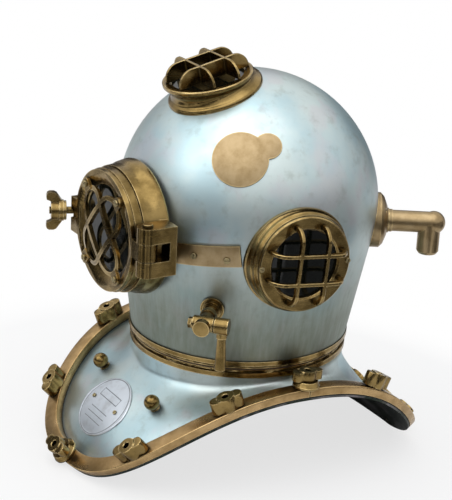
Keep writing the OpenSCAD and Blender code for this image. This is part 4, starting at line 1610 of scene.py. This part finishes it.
def toward(azimuth: float, elevation: float) -> Vector:
    """Direction by degrees from the front toward the wearer's left, and up."""
    az, el = math.radians(azimuth), math.radians(elevation)
    return Vector((math.sin(az) * math.cos(el), -math.cos(az) * math.cos(el), math.sin(el)))


def sheet(name: str, wide: float, high: float) -> tuple[bpy.types.Object, bpy.types.Material, Paint]:
    """Lay a flat sheet that belongs to the studio.

    Args:
        name: name of the sheet and its material.
        wide: its width, metres.
        high: its height, metres.

    Returns:
        The sheet, its material and the writer of the material's nodes.
    """
    x, y = wide / 2, high / 2
    mesh = bpy.data.meshes.new(name)
    mesh.from_pydata([(-x, -y, 0), (x, -y, 0), (x, y, 0), (-x, y, 0)], [], [(0, 1, 2, 3)])
    material, paint = new_material(name)
    mesh.materials.append(material)
    made = put(name, mesh)
    return made, material, paint


@dataclass(frozen=True)
class Studio:
    """Floor, soft lamps, dark cards that only metal and glass see, and the camera."""

    azimuth: float = 58.46
    elevation: float = 20.0
    roll: float = 2.93
    distance: float = 1889.94
    focal_pixels: float = 1670.15
    picture: float = 500.0
    target: tuple[float, float, float] = (-2.87, -19.04, 105.01)
    sensor: float = 36.0
    middle: float = 0.24
    floor_size: float = 18.0

    def camera(self) -> None:
        """Stand the camera where the photograph was taken."""
        back = toward(self.azimuth, self.elevation)
        right = Vector((0, 0, 1)).cross(back).normalized()
        level = Matrix((right, back.cross(right), back)).transposed().to_4x4()
        at = Vector(self.target) + self.distance * back
        data = bpy.data.cameras.new("camera")
        data.sensor_width = self.sensor
        data.lens = self.sensor * self.focal_pixels / self.picture
        data.clip_end = 30.0
        camera = put("camera", data)
        place = neck_frame() @ Matrix.Translation(at) @ level @ turn_about(self.roll, "Z")
        place.translation = place.translation * MM
        camera.matrix_world = place
        bpy.context.scene.camera = camera

    def aim(self, azimuth: float, elevation: float, distance: float) -> Matrix:
        """Frame that looks at the helmet's middle from a direction.

        Args:
            azimuth: degrees from the front toward the wearer's left.
            elevation: degrees above the floor.
            distance: metres.

        Returns:
            The frame, in metres, its -z toward the helmet.
        """
        back = toward(azimuth, elevation)
        turn = back.to_track_quat("Z", "Y").to_matrix().to_4x4()
        return Matrix.Translation(Vector((0, 0, self.middle)) + back * distance) @ turn

    def lamp(self, name: str, azimuth: float, elevation: float, distance: float, size: float,
             power: float) -> None:
        """Hang a square soft lamp that looks at the helmet.

        Args:
            name: name of the lamp.
            azimuth: degrees from the front toward the wearer's left.
            elevation: degrees above the floor.
            distance: metres from the helmet.
            size: metres along each side.
            power: watts.
        """
        data = bpy.data.lights.new(name, "AREA")
        data.size = size
        data.energy = power
        put(name, data).matrix_world = self.aim(azimuth, elevation, distance)

    def card(self, name: str, azimuth: float, elevation: float, distance: float, wide: float, high: float,
             tone: float) -> None:
        """Stand a card that only reflections see.

        Args:
            name: name of the card.
            azimuth: degrees from the front toward the wearer's left.
            elevation: degrees above the floor.
            distance: metres from the helmet.
            wide: its width, metres.
            high: its height, metres.
            tone: how light it is, 0 to 1.
        """
        card, _, paint = sheet(name, wide, high)
        card.matrix_world = self.aim(azimuth, elevation, distance)
        glow = {"Specular IOR Level": 0.0, "Emission Color": (tone, tone, tone * 1.03, 1),
                "Emission Strength": 1.0}
        paint.surface((0, 0, 0, 1), 0.5, constants=glow)
        card.visible_camera = False
        card.visible_diffuse = False
        card.visible_shadow = False
        card.visible_transmission = False

    def floor(self) -> None:
        """Lay a plain white floor that fades into the white behind it."""
        _, material, paint = sheet("floor", self.floor_size, self.floor_size)
        paint.surface((0.86, 0.86, 0.86, 1), 0.9, constants={"Specular IOR Level": 0.1})
        nodes = material.node_tree.nodes
        away = paint.node("ShaderNodeVectorMath", {"operation": "LENGTH"}, {0: paint.coords()})
        far = paint.steps(paint.wire(away, "Value"), 0.22, 0.50)
        seen = paint.wire(paint.node("ShaderNodeLightPath"), "Is Camera Ray")
        white = paint.node("ShaderNodeEmission", {}, {"Color": (1, 1, 1, 1), "Strength": 1.0})
        lit = nodes["Principled BSDF"].outputs[0]
        inputs = {0: paint.most(far, 0.72) * seen, 1: lit, 2: white.outputs[0]}
        blend = paint.node("ShaderNodeMixShader", {}, inputs)
        paint.feed(nodes["Material Output"].inputs[0], blend.outputs[0])

    def world(self) -> None:
        """White to the eye, to metal and to glass; a soft sky for everything else."""
        world = bpy.data.worlds.new("studio")
        bpy.context.scene.world = world
        world.use_nodes = True
        paint = Paint(world.node_tree)
        path = paint.node("ShaderNodeLightPath")
        seen = paint.wire(path, "Is Camera Ray")
        for kind in ("Is Transmission Ray", "Is Glossy Ray"):
            seen = paint.most(seen, paint.wire(path, kind))
        rise = paint.parts(paint.node("ShaderNodeTexCoord").outputs["Generated"])[2]
        sky = paint.mix(paint.steps(rise, -0.2, 0.9), (0.35, 0.35, 0.36, 1), (0.75, 0.76, 0.78, 1))
        tone = paint.mix(seen, sky, (1, 1, 1, 1))
        paint.feed(world.node_tree.nodes["Background"].inputs[0], tone)

    def build(self) -> None:
        """Set the studio up."""
        self.camera()
        self.floor()
        self.world()
        self.lamp("key", azimuth=20, elevation=70, distance=2.0, size=2.4, power=20)
        self.lamp("fill", azimuth=-5, elevation=30, distance=2.4, size=1.2, power=6)
        for number, tone in enumerate((0.5, 0.08, 0.08, 0.3, 0.7)):
            self.card(f"card_back_{number}", azimuth=178 + 30 * number, elevation=4, distance=2.4,
                      wide=1.3, high=2.0, tone=tone)
        for number in range(7):
            azimuth = 30 * number - 35
            self.card(f"card_front_{number}", azimuth, elevation=0, distance=3.0, wide=1.5, high=1.6,
                      tone=0.05)
            self.card(f"card_low_{number}", azimuth, elevation=-11, distance=0.62, wide=0.28, high=0.22,
                      tone=(0.04, 0.22)[number % 2])
        bpy.context.scene.view_settings.view_transform = "Standard"


def paint_nodes() -> None:
    """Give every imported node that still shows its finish."""
    for name, node in frame["nodes"].items():
        if not node.hide_render:
            node.data.materials.clear()
            node.data.materials.append(MATERIALS[SLOT_OF[name]])
            log.info("%s keeps its packed mesh", name)


def main() -> None:
    """Build the helmet's pieces and the studio."""
    logging.basicConfig(level=logging.INFO, format="%(message)s")
    groups: list[tuple[str, Callable[[], list[bpy.types.Object]]]] = [
        ("breastplate", Breastplate().build),
        ("brails", Brails().build),
        ("rim fasteners", RimFasteners().build),
        ("bonnet", Bonnet().build),
        ("face door", FaceDoor().build),
        ("left port", SidePort(Side.LEFT).build),
        ("right port", SidePort(Side.RIGHT).build),
        ("top port", TopPort().build),
        ("fittings", Fittings().build),
    ]
    for name, build in groups:
        log.info("%s: %d pieces", name, len(build()))
    paint_nodes()
    Studio().build()


if __name__ == "__main__":
    main()
